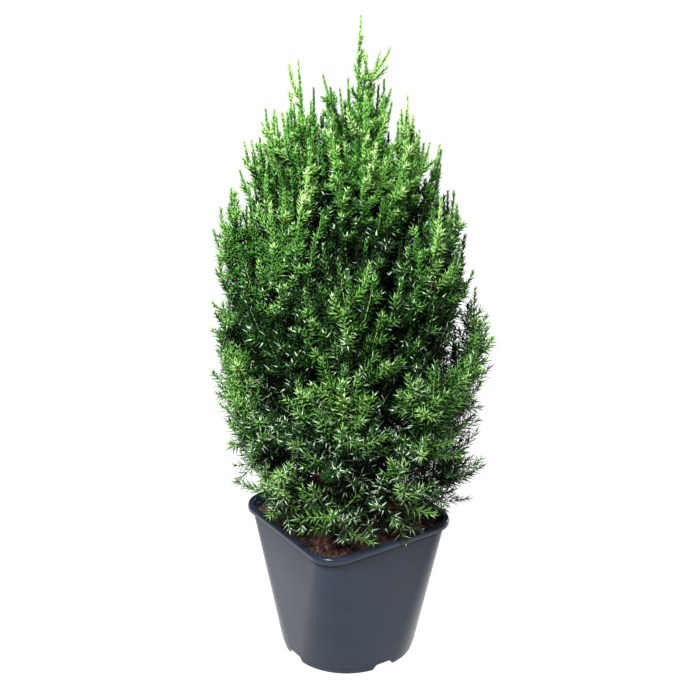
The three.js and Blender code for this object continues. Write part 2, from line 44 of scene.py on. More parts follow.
# Pot: a square nursery pot, injection-moulded in slate-grey polypropylene, round-cornered at the rim and
# nearly round at the foot. It is made as level outlines, bridged from under the floor round the foot,
# up the wall, over the lip and down inside, with four drain notches cut out of the foot ring.
POT_WIDTH = 150
POT_HEIGHT = 143
POT_WALL = 1.6
RIM_CORNER = 24
RIM_HEIGHT = 6.5
RIM_OVERHANG = 4.5
FOOT_WIDTH = 121
FOOT_CORNER_SHARE = 0.92
FOOT_STEP_HEIGHT = 6
FOOT_STEP_INSET = 0.8
NOTCH_HEIGHT = 5
NOTCH_BOTTOM_WIDTH = 31
NOTCH_TOP_WIDTH = 23
FLOOR_UNDER = 5.9
FLOOR_TOP = 7.6
POT_CORNER_STEPS = 14
POT_SMOOTH_ANGLE = 28
SLATE_LIGHT = "#202A37"
SLATE_DARK = "#1A232E"
MOULD_MOTTLE = 22
MOULD_GRAIN = 0.9
MOULD_GRAIN_DEPTH = 0.2
MOULD_SATIN = (0.2, 0.28)


def linear(hex_colour):
    """An sRGB hex colour as linear RGBA."""
    shares = [int(hex_colour[k : k + 2], 16) / 255 for k in (1, 3, 5)]
    return [s / 12.92 if s <= 0.04045 else ((s + 0.055) / 1.055) ** 2.4 for s in shares] + [1.0]


def add_node(material, kind, inputs, **settings):
    """One node with its settings; each input is a value or the socket that feeds it."""
    tree = material.node_tree
    node = tree.nodes.new(kind)
    for name, value in settings.items():
        setattr(node, name, value)
    for socket, value in inputs.items():
        if isinstance(value, bpy.types.NodeSocket):
            tree.links.new(value, node.inputs[socket])
        else:
            node.inputs[socket].default_value = value
    return node


def new_material(name, **sockets):
    """A material whose shader has these values on its own sockets, and the shader."""
    material = bpy.data.materials.new(name)
    material.use_nodes = True
    shader = material.node_tree.nodes["Principled BSDF"]
    for socket, value in sockets.items():
        shader.inputs[socket.replace("_", " ")].default_value = value
    return material, shader


def edit(piece):
    """Goes into edit mode on one piece alone, with nothing selected in it."""
    if bpy.context.object and bpy.context.object.mode == "EDIT":
        bpy.ops.object.mode_set(mode="OBJECT")
    bpy.ops.object.select_all(action="DESELECT")
    bpy.context.view_layer.objects.active = piece
    piece.select_set(True)
    bpy.ops.object.mode_set(mode="EDIT")
    bpy.ops.mesh.select_all(action="DESELECT")


def select_corners(piece, test):
    """Selects the corners that the test picks, in millimetres, and what lies between them."""
    mesh = bmesh.from_edit_mesh(piece.data)
    for corner in mesh.verts:
        corner.select_set(test(corner.co / MM))
    mesh.select_flush(True)
    bmesh.update_edit_mesh(piece.data)


def select_at_heights(piece, *heights):
    """Selects what lies level at these heights, in millimetres."""
    bpy.ops.mesh.select_all(action="DESELECT")
    select_corners(piece, lambda spot: any(abs(spot.z - height) < 0.01 for height in heights))


def apply_modifiers(piece):
    bpy.ops.object.mode_set(mode="OBJECT")
    bpy.ops.object.select_all(action="DESELECT")
    bpy.context.view_layer.objects.active = piece
    piece.select_set(True)
    for modifier in list(piece.modifiers):
        bpy.ops.object.modifier_apply(modifier=modifier.name)


def wall_outline(height, inset):
    """The pot wall's outline at a height: its half width, its corner radius and that height."""
    share = height / (POT_HEIGHT - RIM_HEIGHT)
    half = FOOT_WIDTH / 2 + share * ((POT_WIDTH - FOOT_WIDTH) / 2 - RIM_OVERHANG)
    foot_corner = FOOT_WIDTH / 2 * FOOT_CORNER_SHARE
    corner = foot_corner + share * (RIM_CORNER - RIM_OVERHANG - foot_corner)
    return half - inset, corner - inset, height


def rim_outline(height, inset):
    return POT_WIDTH / 2 - inset, RIM_CORNER - inset, height


def add_outline(piece, half, corner, height):
    """A level square with round corners, as a ring of edges in the piece being edited."""
    bpy.ops.mesh.select_all(action="DESELECT")
    bpy.ops.mesh.primitive_plane_add(size=2 * half * MM, location=(0, 0, height * MM))
    bpy.ops.mesh.bevel(offset=corner * MM, segments=POT_CORNER_STEPS, affect="VERTICES")
    select_at_heights(piece, height)
    bpy.ops.mesh.delete(type="ONLY_FACE")


rim_under = POT_HEIGHT - RIM_HEIGHT
foot_inside = FOOT_STEP_INSET + POT_WALL
pot_outlines = [
    # From under the floor down inside the foot ring, round its edge and over the step
    wall_outline(FLOOR_UNDER, foot_inside),
    wall_outline(0.3, foot_inside),
    wall_outline(0, FOOT_STEP_INSET + 0.4),
    wall_outline(0.5, FOOT_STEP_INSET),
    wall_outline(FOOT_STEP_HEIGHT, FOOT_STEP_INSET),
    wall_outline(FOOT_STEP_HEIGHT + 0.7, 0),
    # Up the wall to a shallow groove under the rim
    wall_outline(45, 0),
    wall_outline(90, 0),
    wall_outline(rim_under - 5.2, 0),
    wall_outline(rim_under - 4.7, 0.1),
    wall_outline(rim_under - 4.3, 0.45),
    wall_outline(rim_under - 0.1, 0.5),
    # Out and over the rolled lip
    rim_outline(rim_under + 0.1, 1.3),
    rim_outline(rim_under + 0.5, 0.5),
    rim_outline(rim_under + 1.2, 0.1),
    rim_outline(POT_HEIGHT - 2.6, 0),
    rim_outline(POT_HEIGHT - 1.4, 0.35),
    rim_outline(POT_HEIGHT - 0.5, 1.1),
    rim_outline(POT_HEIGHT, 2.5),
    rim_outline(POT_HEIGHT - 0.1, 4.2),
    rim_outline(POT_HEIGHT - 0.6, 5.4),
    rim_outline(POT_HEIGHT - 1.8, 6.1),
    # Down the inside of the wall to the floor
    wall_outline(rim_under - 2, POT_WALL),
    wall_outline(FLOOR_TOP, POT_WALL),
]
bpy.ops.object.select_all(action="DESELECT")
bpy.ops.mesh.primitive_plane_add(size=MM)
pot = bpy.context.object
pot.name = "pot_moulded"
edit(pot)
bpy.ops.mesh.select_all(action="SELECT")
bpy.ops.mesh.delete(type="VERT")
for row, outline in enumerate(pot_outlines):
    add_outline(pot, *outline)
    if row:
        select_at_heights(pot, pot_outlines[row - 1][2], outline[2])
        bpy.ops.mesh.bridge_edge_loops()
for outline in (pot_outlines[0], pot_outlines[-1]):
    select_at_heights(pot, outline[2])
    bpy.ops.mesh.edge_face_add()
bpy.ops.mesh.select_all(action="SELECT")
bpy.ops.mesh.remove_doubles(threshold=0.02 * MM)
bpy.ops.mesh.normals_make_consistent(inside=False)
bpy.ops.object.mode_set(mode="OBJECT")

# Each notch is a wedge through the foot ring, wider at the ground
for side in range(4):
    bpy.ops.object.select_all(action="DESELECT")
    bpy.ops.mesh.primitive_cube_add(size=MM)
    cutter = bpy.context.object
    edit(cutter)
    bpy.ops.mesh.select_all(action="SELECT")
    notch_size = (NOTCH_BOTTOM_WIDTH, FOOT_WIDTH / 2, 2 * NOTCH_HEIGHT)
    bpy.ops.transform.resize(value=notch_size, center_override=(0, 0, 0))
    select_at_heights(cutter, NOTCH_HEIGHT)
    narrowing = 1 - 2 * (1 - NOTCH_TOP_WIDTH / NOTCH_BOTTOM_WIDTH)
    bpy.ops.transform.resize(value=(narrowing, 1, 1), center_override=(0, 0, NOTCH_HEIGHT * MM))
    bpy.ops.mesh.select_all(action="SELECT")
    bpy.ops.transform.translate(value=(0, FOOT_WIDTH / 2 * MM, 0))
    bpy.ops.object.mode_set(mode="OBJECT")
    cutter.rotation_euler.z = side * math.pi / 2
    cut = pot.modifiers.new("notch", "BOOLEAN")
    cut.object = cutter
    cut.solver = "EXACT"
    apply_modifiers(pot)
    bpy.data.objects.remove(cutter)
bpy.ops.object.shade_smooth_by_angle(angle=math.radians(POT_SMOOTH_ANGLE))

# Moulded polypropylene: satin, with a faint mottle from the flow in the mould and a fine even grain
polypropylene, shader = new_material("moulded_polypropylene", IOR=1.52)
shader.inputs["Specular Tint"].default_value = linear("#DDEAFF")
place = add_node(polypropylene, "ShaderNodeTexCoord", {}).outputs["Object"]
mottle = add_node(
    polypropylene, "ShaderNodeTexNoise", {"Vector": place, "Scale": 1 / (MOULD_MOTTLE * MM), "Detail": 4.0}
)
slate = add_node(polypropylene, "ShaderNodeValToRGB", {"Fac": mottle.outputs["Fac"]})
slate.color_ramp.elements[0].color = linear(SLATE_DARK)
slate.color_ramp.elements[0].position = 0.35
slate.color_ramp.elements[1].color = linear(SLATE_LIGHT)
slate.color_ramp.elements[1].position = 0.7
grain = add_node(
    polypropylene, "ShaderNodeTexNoise", {"Vector": place, "Scale": 1 / (MOULD_GRAIN * MM), "Detail": 2.0}
)
relief = add_node(
    polypropylene,
    "ShaderNodeBump",
    {"Height": grain.outputs["Fac"], "Strength": 0.06, "Distance": MOULD_GRAIN_DEPTH * MM},
)
satin = add_node(
    polypropylene,
    "ShaderNodeMapRange",
    {"Value": mottle.outputs["Fac"], "To Min": MOULD_SATIN[0], "To Max": MOULD_SATIN[1]},
)
links = polypropylene.node_tree.links
links.new(slate.outputs["Color"], shader.inputs["Base Color"])
links.new(relief.outputs["Normal"], shader.inputs["Normal"])
links.new(satin.outputs["Result"], shader.inputs["Roughness"])
pot.data.materials.append(polypropylene)
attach(pot, "root")
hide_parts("pot")

# Soil: damp peat and composted bark that fills the pot to a finger's breadth under the rim.
# It is a sheet inset ring by ring from the wall and heaved into crumbs, with loose crumbs and chips on it.
SOIL_TOP = 133
SOIL_EDGE = 130.5
SOIL_RINGS = 13
SOIL_SIDE_CUTS = 17
SOIL_HEAVES = {"heaps": (16, 3.6), "crumbs": (4.5, 2.6)}
CRUMBS = 2600
CRUMB_SIZE = (1.2, 4.4)
CRUMB_SMALL_POWER = 2.2
CRUMB_LUMPS = (0.65, 1.25)
CRUMB_SKEW = 0.16
CRUMB_LEAN = 0.5
CRUMB_WALL_CLEAR = 4
CRUMB_CORNER_CLEAR = 5
CRUMB_TRUNK_CLEAR = 13
CHIP_SHARE = 0.1
CHIP_SHAPE = (1.9, 1.2, 0.55)
PEAT_FIBRE = 2.2
PEAT_FIBRE_DEPTH = 0.8
CRUMB_COLOURS = {"peat_dark": "#33221D", "peat_brown": "#5A3C31", "bark_chip": "#9A6C56"}


def select_long_edges(piece, least):
    """Selects the edges longer than this many millimetres."""
    bpy.ops.mesh.select_mode(type="EDGE")
    bpy.ops.mesh.select_all(action="DESELECT")
    mesh = bmesh.from_edit_mesh(piece.data)
    for edge in mesh.edges:
        edge.select_set(edge.calc_length() > least * MM)
    bmesh.update_edit_mesh(piece.data)


soil_half, soil_corner, _ = wall_outline(SOIL_EDGE, POT_WALL + 0.2)
bpy.ops.object.select_all(action="DESELECT")
bpy.ops.mesh.primitive_plane_add(size=2 * soil_half * MM, location=(0, 0, SOIL_EDGE * MM))
soil = bpy.context.object
soil.name = "soil_surface"
bpy.ops.object.transform_apply(location=True, rotation=False, scale=False)
edit(soil)
bpy.ops.mesh.select_all(action="SELECT")
bpy.ops.mesh.bevel(offset=soil_corner * MM, segments=POT_CORNER_STEPS, affect="VERTICES")
select_long_edges(soil, soil_half)
bpy.ops.mesh.subdivide(number_cuts=SOIL_SIDE_CUTS)
bpy.ops.mesh.select_mode(type="FACE")
bpy.ops.mesh.select_all(action="SELECT")
for ring in range(SOIL_RINGS):
    bpy.ops.mesh.extrude_region()
    shrink = (SOIL_RINGS - ring) / (SOIL_RINGS + 1 - ring)
    bpy.ops.transform.resize(value=(shrink, shrink, 1), center_override=(0, 0, SOIL_EDGE * MM))
bpy.ops.mesh.poke()
bpy.ops.mesh.select_all(action="SELECT")
bpy.ops.mesh.subdivide(number_cuts=1)
bpy.ops.mesh.normals_make_consistent(inside=False)
for name, (size, strength) in SOIL_HEAVES.items():
    lumps = bpy.data.textures.new(f"soil_{name}", "CLOUDS")
    lumps.noise_scale = size * MM
    heave = soil.modifiers.new(name, "DISPLACE")
    heave.texture = lumps
    heave.texture_coords = "LOCAL"
    heave.direction = "Z"
    heave.mid_level = 0.4
    heave.strength = strength * MM
apply_modifiers(soil)


def joined_mesh(name, corners, faces, material_of_face, materials):
    """One object from arrays: corners in millimetres, three-cornered faces and each face's material."""
    mesh = bpy.data.meshes.new(name)
    mesh.vertices.add(len(corners))
    mesh.vertices.foreach_set("co", (np.asarray(corners) * MM).astype(np.float32).ravel())
    mesh.loops.add(3 * len(faces))
    mesh.loops.foreach_set("vertex_index", np.asarray(faces, np.int32).ravel())
    mesh.polygons.add(len(faces))
    mesh.polygons.foreach_set("loop_start", np.arange(0, 3 * len(faces), 3, dtype=np.int32))
    mesh.polygons.foreach_set("material_index", np.asarray(material_of_face, np.int32))
    mesh.update(calc_edges=True)
    for material in materials:
        mesh.materials.append(material)
    piece = bpy.data.objects.new(name, mesh)
    bpy.context.scene.collection.objects.link(piece)
    return piece


# Loose crumbs: lumpy eight-sided grains, a few of them flat chips of bark
chance = np.random.default_rng(7)
crumb_half = soil_half - CRUMB_WALL_CLEAR
spots = chance.uniform(-crumb_half, crumb_half, (4 * CRUMBS, 2))
corner_reach = np.hypot(*np.maximum(np.abs(spots) - (soil_half - soil_corner), 0).T)
in_pot = corner_reach < soil_corner - CRUMB_CORNER_CLEAR
spots = spots[in_pot & (np.hypot(*spots.T) > CRUMB_TRUNK_CLEAR)][:CRUMBS]
grain_sizes = chance.uniform(0, 1, len(spots)) ** CRUMB_SMALL_POWER
grain_sizes = CRUMB_SIZE[0] + grain_sizes * (CRUMB_SIZE[1] - CRUMB_SIZE[0])
octahedron = np.array([[1, 0, 0], [0, 1, 0], [-1, 0, 0], [0, -1, 0], [0, 0, 1], [0, 0, -1]], float)
octahedron_faces = np.array(
    [[0, 1, 4], [1, 2, 4], [2, 3, 4], [3, 0, 4], [1, 0, 5], [2, 1, 5], [3, 2, 5], [0, 3, 5]]
)
is_chip = chance.uniform(0, 1, len(spots)) < CHIP_SHARE
stretch = np.where(is_chip[:, None], CHIP_SHAPE, [1, 1, 1]) * grain_sizes[:, None]
lumps = octahedron * chance.uniform(*CRUMB_LUMPS, (len(spots), 6, 1)) * stretch[:, None]
lumps += chance.normal(0, CRUMB_SKEW, lumps.shape) * grain_sizes[:, None, None]
spin, tip_over = chance.uniform(0, 2 * np.pi, len(spots)), chance.normal(0, CRUMB_LEAN, len(spots))
lean = np.stack([np.cos(tip_over), np.sin(tip_over)], 1)
lumps[..., 1:] = np.stack(
    [
        lumps[..., 1] * lean[:, None, 0] - lumps[..., 2] * lean[:, None, 1],
        lumps[..., 1] * lean[:, None, 1] + lumps[..., 2] * lean[:, None, 0],
    ],
    -1,
)
turned = np.stack([np.cos(spin), np.sin(spin)], 1)
lumps[..., :2] = np.stack(
    [
        lumps[..., 0] * turned[:, None, 0] - lumps[..., 1] * turned[:, None, 1],
        lumps[..., 0] * turned[:, None, 1] + lumps[..., 1] * turned[:, None, 0],
    ],
    -1,
)
soil_heights = chance.uniform(SOIL_EDGE - 0.5, SOIL_TOP, len(spots))
lumps += np.column_stack([spots, soil_heights])[:, None]
crumb_faces = octahedron_faces + 6 * np.arange(len(spots))[:, None, None]
crumb_kind = np.where(is_chip, 2, chance.integers(0, 2, len(spots)))

# Peat: matt and damp, dark crumbs beside paler fibres, with bark chips of a redder brown
crumb_materials = []
for name, hex_colour in CRUMB_COLOURS.items():
    material, shader = new_material(name, Roughness=0.85, IOR=1.4)
    place = add_node(material, "ShaderNodeTexCoord", {}).outputs["Object"]
    fibres = add_node(
        material, "ShaderNodeTexNoise", {"Vector": place, "Scale": 1 / (PEAT_FIBRE * MM), "Detail": 6.0}
    )
    brown = add_node(material, "ShaderNodeValToRGB", {"Fac": fibres.outputs["Fac"]})
    brown.color_ramp.elements[0].color = [0.35 * c for c in linear(hex_colour)[:3]] + [1]
    brown.color_ramp.elements[0].position = 0.3
    brown.color_ramp.elements[1].color = linear(hex_colour)
    brown.color_ramp.elements[1].position = 0.65
    rough = add_node(
        material,
        "ShaderNodeBump",
        {"Height": fibres.outputs["Fac"], "Strength": 0.7, "Distance": PEAT_FIBRE_DEPTH * MM},
    )
    material.node_tree.links.new(brown.outputs["Color"], shader.inputs["Base Color"])
    material.node_tree.links.new(rough.outputs["Normal"], shader.inputs["Normal"])
    crumb_materials.append(material)
soil.data.materials.append(crumb_materials[1])
crumbs = joined_mesh(
    "soil_crumbs", lumps.reshape(-1, 3), crumb_faces.reshape(-1, 3), np.repeat(crumb_kind, 8), crumb_materials
)
for piece in (soil, crumbs):
    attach(piece, "root")
    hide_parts("soil")

# Trunk and boughs: one woody stem, flared at the soil, leaning a little on its way to the leader, with tiers
# of boughs that run out of it and turn up. The lines follow the rule that the solids were grown by.
# Each limb is a tapering tube with its bark heaved into strips.
TRUNK_TOP = 452
TRUNK_FOOT_RADIUS = 8.5
TRUNK_TIP_RADIUS = 2.2
TRUNK_TAPER_POWER = 0.8
TRUNK_LEAN = np.array([7, -4])
TRUNK_SWAY = 3
TRUNK_BENDS = np.array([0, 0.3, 0.65, 1])
LEADER_TIP = np.array([9, -6, 619])
LEADER_HANDLE = 60
ROOT_FLARE = 0.55
ROOT_FLARE_HEIGHT = 13
GAP = 0.3
CROWN_FOOT = 140
CROWN_TOP = 619
CROWN_REACH = 126
CROWN_TAPER_POWER = 3.6
CROWN_SHOULDER_POWER = 0.78
CROWN_FOOT_SHARE = 0.83
CROWN_WIDEST = 0.42
CROWN_SWAY = np.array([5.8, -3.9])
CROWN_SWAY_TURN = 1.1 * np.pi
TIERS = [
    dict(boughs=8, first_turn=-132, turn=45, foot=(147, 163), tip=(200, 234), bend=(0.66, 0.12)),
    dict(boughs=7, first_turn=-79, turn=51.4, foot=(170, 194), tip=(298, 346), bend=(0.8, 0.2)),
    dict(boughs=7, first_turn=-115, turn=51.4, foot=(204, 240), tip=(424, 500), bend=(0.84, 0.22)),
    dict(boughs=5, first_turn=117, turn=137.5, foot=(256, 290), tip=(520, 596), bend=(0.84, 0.22)),
]
REACH_SHARE = (0.95, 1.04)
TURN_JITTER = math.radians(7)
BOUGHS = sum(tier["boughs"] for tier in TIERS)
LEADER = BOUGHS
BOUGH_SHARE = 0.28
BOUGH_RADIUS = 3.4
TOP_BOUGH_RADIUS = 2.8
BOUGH_END_RADIUS = 2
GOLDEN_SHARE = 0.618034
SEED = 18969
BOUGH_RINGS = 14
BARK_STRIP = 3.0
BARK_STRIP_STRETCH = 6
BARK_DEPTH = 1.6
BARK_FIBRE = 1.6
BARK_FIBRE_DEPTH = 0.8
BARK_DARK = "#2C1A10"
BARK_LIGHT = "#8A5D3C"
WORD = 0xFFFFFFFF


def seeded_draws(seed):
    """Draws from 0 to 1, the same as the solids were grown by."""
    state = seed & WORD
    while True:
        state = (state + 0x6D2B79F5) & WORD
        mixed = ((state ^ (state >> 15)) * (1 | state)) & WORD
        mixed = (mixed + (mixed ^ (mixed >> 7)) * (61 | mixed)) & WORD ^ mixed
        yield ((mixed ^ (mixed >> 14)) & WORD) / 2**32


def lerp(pair, share):
    return pair[0] + (pair[1] - pair[0]) * share


def smoothstep(x, low, high):
    share = np.clip((x - low) / (high - low), 0, 1)
    return share * share * (3 - 2 * share)


def unit(vectors):
    return vectors / np.linalg.norm(vectors, axis=-1, keepdims=True)


def trunk_bends():
    """The points that the trunk's line passes through, with one more past each end."""
    sway = TRUNK_SWAY * np.sin(TRUNK_BENDS * 2 * np.pi)
    x, y = TRUNK_LEAN[0] * TRUNK_BENDS - sway, TRUNK_LEAN[1] * TRUNK_BENDS + sway
    points = np.column_stack([x, y, lerp((SOIL_TOP + GAP, TRUNK_TOP), TRUNK_BENDS)])
    return np.vstack([2 * points[0] - points[1], points, 2 * points[-1] - points[-2]])


def trunk_point(share):
    """A smooth line through the bends, each stretch eased by the spacing of its neighbours."""
    bends = trunk_bends()
    stretch = min(int(share * 3), 2)
    t = share * 3 - stretch
    p0, p1, p2, p3 = bends[stretch : stretch + 4]
    d0, d1, d2 = (np.linalg.norm(b - a) ** 0.5 for a, b in ((p0, p1), (p1, p2), (p2, p3)))
    t1 = ((p1 - p0) / d0 - (p2 - p0) / (d0 + d1) + (p2 - p1) / d1) * d1
    t2 = ((p2 - p1) / d1 - (p3 - p1) / (d1 + d2) + (p3 - p2) / d2) * d1
    return p1 + t1 * t + (3 * (p2 - p1) - 2 * t1 - t2) * t**2 + (2 * (p1 - p2) + t1 + t2) * t**3


def trunk_share_at(height):
    return np.clip((height - SOIL_TOP) / (TRUNK_TOP - SOIL_TOP), 0, 1)


def trunk_radius_at(share):
    flare = ROOT_FLARE * np.exp(-share * (TRUNK_TOP - SOIL_TOP) / ROOT_FLARE_HEIGHT)
    return lerp((TRUNK_FOOT_RADIUS, TRUNK_TIP_RADIUS), share**TRUNK_TAPER_POWER) * (1 + flare)


def crown_radius_at(height):
    share = np.clip((height - CROWN_FOOT) / (CROWN_TOP - CROWN_FOOT), 0, 1)
    foot = lerp((CROWN_FOOT_SHARE, 1), np.sin(np.minimum(1, share / CROWN_WIDEST) * np.pi / 2))
    return CROWN_REACH * (1 - share**CROWN_TAPER_POWER) ** CROWN_SHOULDER_POWER * foot


def crown_middle_at(height):
    share = (np.asarray(height, float) - SOIL_TOP) / (CROWN_TOP - SOIL_TOP)
    return np.cos(CROWN_SWAY_TURN * share)[..., None] * CROWN_SWAY


def along(line, share):
    """Points of a line that bends once, given by its foot, bend and tip."""
    s = np.asarray(share, float)[..., None]
    return (1 - s) ** 2 * line[0] + 2 * s * (1 - s) * line[1] + s**2 * line[2]


def heading_along(line, share):
    s = np.asarray(share, float)[..., None]
    return unit((1 - s) * (line[1] - line[0]) + s * (line[2] - line[1]))


def limb_line(turn, foot_height, tip_height, reach_share, bend_share):
    out = np.array([math.cos(turn), math.sin(turn), 0])
    foot = trunk_point(trunk_share_at(foot_height))
    reach = crown_radius_at(tip_height) * reach_share
    tip = np.append(crown_middle_at(tip_height), tip_height) + out * reach
    bend = foot + out * reach * bend_share[0]
    bend[2] = lerp((foot_height, tip_height), bend_share[1])
    return np.array([foot, bend, tip])


def limb_lines():
    """One line for each bough and its stem, and last the leader's."""
    draws = seeded_draws(SEED)
    lines = []
    for tier in TIERS:
        for k in range(tier["boughs"]):
            rise = k * GOLDEN_SHARE % 1
            turn = math.radians(tier["first_turn"] + k * tier["turn"])
            turn += (2 * next(draws) - 1) * TURN_JITTER
            reach_share = lerp(REACH_SHARE, next(draws))
            foot_height, tip_height = lerp(tier["foot"], rise), lerp(tier["tip"], rise)
            lines.append(limb_line(turn, foot_height, tip_height, reach_share, tier["bend"]))
    foot = trunk_point(1)
    lead = unit(foot - trunk_point(0.9999)) * LEADER_HANDLE + foot
    lines.append(np.array([foot, lead, LEADER_TIP]))
    return lines


limbs = limb_lines()
trunk_shares = np.concatenate([np.linspace(0, 0.1, 9), np.linspace(0.12, 1, 45)])
tubes = [(np.array([trunk_point(s) for s in trunk_shares]), trunk_radius_at(trunk_shares))]
for k, limb in enumerate(limbs[:BOUGHS]):
    shares = np.linspace(0, BOUGH_SHARE, BOUGH_RINGS)
    thickness = BOUGH_RADIUS if k < BOUGHS - TIERS[-1]["boughs"] else TOP_BOUGH_RADIUS
    tubes.append((along(limb, shares), np.linspace(thickness, BOUGH_END_RADIUS, BOUGH_RINGS)))
bpy.ops.object.select_all(action="DESELECT")
bpy.ops.curve.primitive_bezier_curve_add()
woody = bpy.context.object
woody.name = "trunk_and_boughs"
woody.data.splines.clear()
woody.data.bevel_depth = MM
woody.data.bevel_resolution = 5
woody.data.use_fill_caps = True
for points, radii in tubes:
    spline = woody.data.splines.new("POLY")
    spline.points.add(len(points) - 1)
    for point, spot, radius in zip(spline.points, points, radii):
        point.co = (*(spot * MM), 1)
        point.radius = radius
bpy.ops.object.convert(target="MESH")
woody = bpy.context.object
woody.data.transform(woody.matrix_world)
woody.matrix_world.identity()
edit(woody)
bpy.ops.mesh.select_all(action="SELECT")
bpy.ops.mesh.normals_make_consistent(inside=False)
bpy.ops.object.mode_set(mode="OBJECT")
bpy.ops.object.empty_add()
strip_rule = bpy.context.object
strip_rule.scale = (1, 1, BARK_STRIP_STRETCH)
strips = bpy.data.textures.new("bark_strips", "CLOUDS")
strips.noise_scale = BARK_STRIP * MM
peel = woody.modifiers.new("bark_strips", "DISPLACE")
peel.texture = strips
peel.texture_coords = "OBJECT"
peel.texture_coords_object = strip_rule
peel.mid_level = 0.55
peel.strength = BARK_DEPTH * MM
apply_modifiers(woody)
bpy.data.objects.remove(strip_rule)
bpy.ops.object.shade_smooth()

# Bark: fibrous, red-brown, peeling in long strips
bark, shader = new_material("juniper_bark", Roughness=0.85, IOR=1.45)
place = add_node(bark, "ShaderNodeTexCoord", {}).outputs["Object"]
drawn_out = add_node(bark, "ShaderNodeMapping", {"Vector": place, "Scale": (1, 1, 0.16)})
fibre = add_node(
    bark,
    "ShaderNodeTexNoise",
    {"Vector": drawn_out.outputs["Vector"], "Scale": 1 / (BARK_FIBRE * MM), "Detail": 5.0},
)
bark_tone = add_node(bark, "ShaderNodeValToRGB", {"Fac": fibre.outputs["Fac"]})
bark_tone.color_ramp.elements[0].color = linear(BARK_DARK)
bark_tone.color_ramp.elements[0].position = 0.32
bark_tone.color_ramp.elements[1].color = linear(BARK_LIGHT)
bark_tone.color_ramp.elements[1].position = 0.7
fibre_relief = add_node(
    bark,
    "ShaderNodeBump",
    {"Height": fibre.outputs["Fac"], "Strength": 0.8, "Distance": BARK_FIBRE_DEPTH * MM},
)
bark.node_tree.links.new(bark_tone.outputs["Color"], shader.inputs["Base Color"])
bark.node_tree.links.new(fibre_relief.outputs["Normal"], shader.inputs["Normal"])
woody.data.materials.append(bark)
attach(woody, "root")
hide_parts("trunk", *[f"bough_{k + 1:02d}" for k in range(BOUGHS)])

# Foliage, the rule: each mass keeps to the space nearer to its own stem than to any other, inside the crown,
# over the pot and clear of every limb. Its first sprays are the solids' own, found by the same draws;
# finer sprays then fill the space between, shyer of the crown's edge the higher they grow.
SOIL_OPEN = 45
SOIL_CLEAR = 2
RIM_CLEAR = 1.5
STEM_END = 0.7
LEADER_STEM_END = 0.5
MASS_STRETCHES = 8
BOUGH_STRETCHES = 6
TRUNK_STRETCHES = 12
SPRAY_TRIES = 40
SPRAYS_MOST = 6
SPRAY_LONGEST = 112
SPRAY_SHRINK = 0.9
SPRAY_WIDTH_SHARE = 0.24
SPRAY_WIDEST = 12
SPRAY_NARROWEST = 1
SPRAY_TAPER_POWER = 0.6
SPRAY_SWELL = (-0.35, 0.3)
SPRAY_BEND = 0.5
SPRAY_OUTER = 0.52
SPRAY_APART = 20
SPRAY_PROUD = (0.25, 9.25)
SPRAY_CLEAR = 0.5
SPRAY_BARE_SHARE = 0.16
SPRAY_LEAFY_END = 0.95
SPRAY_STEM_SPAN = (0.05, 0.94)
SPRAY_FIRST = 0.2
SPRAY_LIFT_SPREAD = 0.2
# A habit's pairs run from the first of its heights to the second; climb, spread and sector are in degrees,
# leafy_from is the share of the limb that sprays start at, and shortest is in millimetres
SOLID_HABIT = dict(
    heights=(150, 430), climb=(-12, 38), spread=(24, 24), lift=(0.12, 0.72), sector=270, inner=0,
    leafy_from=1, shortest=30,
)
FINE_HABIT = dict(
    heights=(150, 350), climb=(12, 60), spread=(80, 50), lift=(0.25, 0.85), sector=250, inner=0,
    leafy_from=0.1, shortest=30,
)
INNER_HABIT = dict(
    heights=(150, 350), climb=(30, 60), spread=(70, 40), lift=(0.4, 0.8), sector=360, inner=1,
    leafy_from=0.1, shortest=24,
)
TRUNK_LEAFY_SHARE = 0.5
TRUNK_LEAFY_FROM = 0.6
INNER_CLIMB = 72
INNER_DEPTHS = (25, 65)
TIP_BARE_SHARE = 0.05
TIP_SLIM = 0.8
SPRAY_CORE = 3.2
SPRAY_CORE_SHARE = 0.36
SPRAY_FIRST_CORE = 0.6
SHOOT_FORWARD = 1.2
SHOOT_AHEAD = 0.12
WHORL_SPACING = 24
WHORLS_LEAST = 2
WHORLS_MOST = 4
WHORL_TURN = np.pi / 3
FINE_TRIES = 320
FINE_SPRAYS_MOST = 60
FINE_APART = (19, 12)
FINE_APART_HEIGHTS = (180, 400)
FINE_TOP = 555
INNER_TRIES = 120
INNER_SPRAYS_MOST = 13
INNER_APART = 14
INNER_TOP = 520
INNER_PROUD = (-52, -34)
FINE_STEPS = (0.754878, 0.569840)
FINE_TESTED = np.linspace(0.25, 1, 6)
INNER_OFFSETS = (0.5, 0.3)
FINE_PROUD = 2
FINE_SHY = (22, 56)
FINE_SHY_HEIGHTS = (360, 560)
SKIRT_FOOT = 130
SKIRT_RISE = 0.36
SKIRT_RAGGED = (-12, 20)


def stretches(line_points):
    return line_points[:-1], line_points[1:]


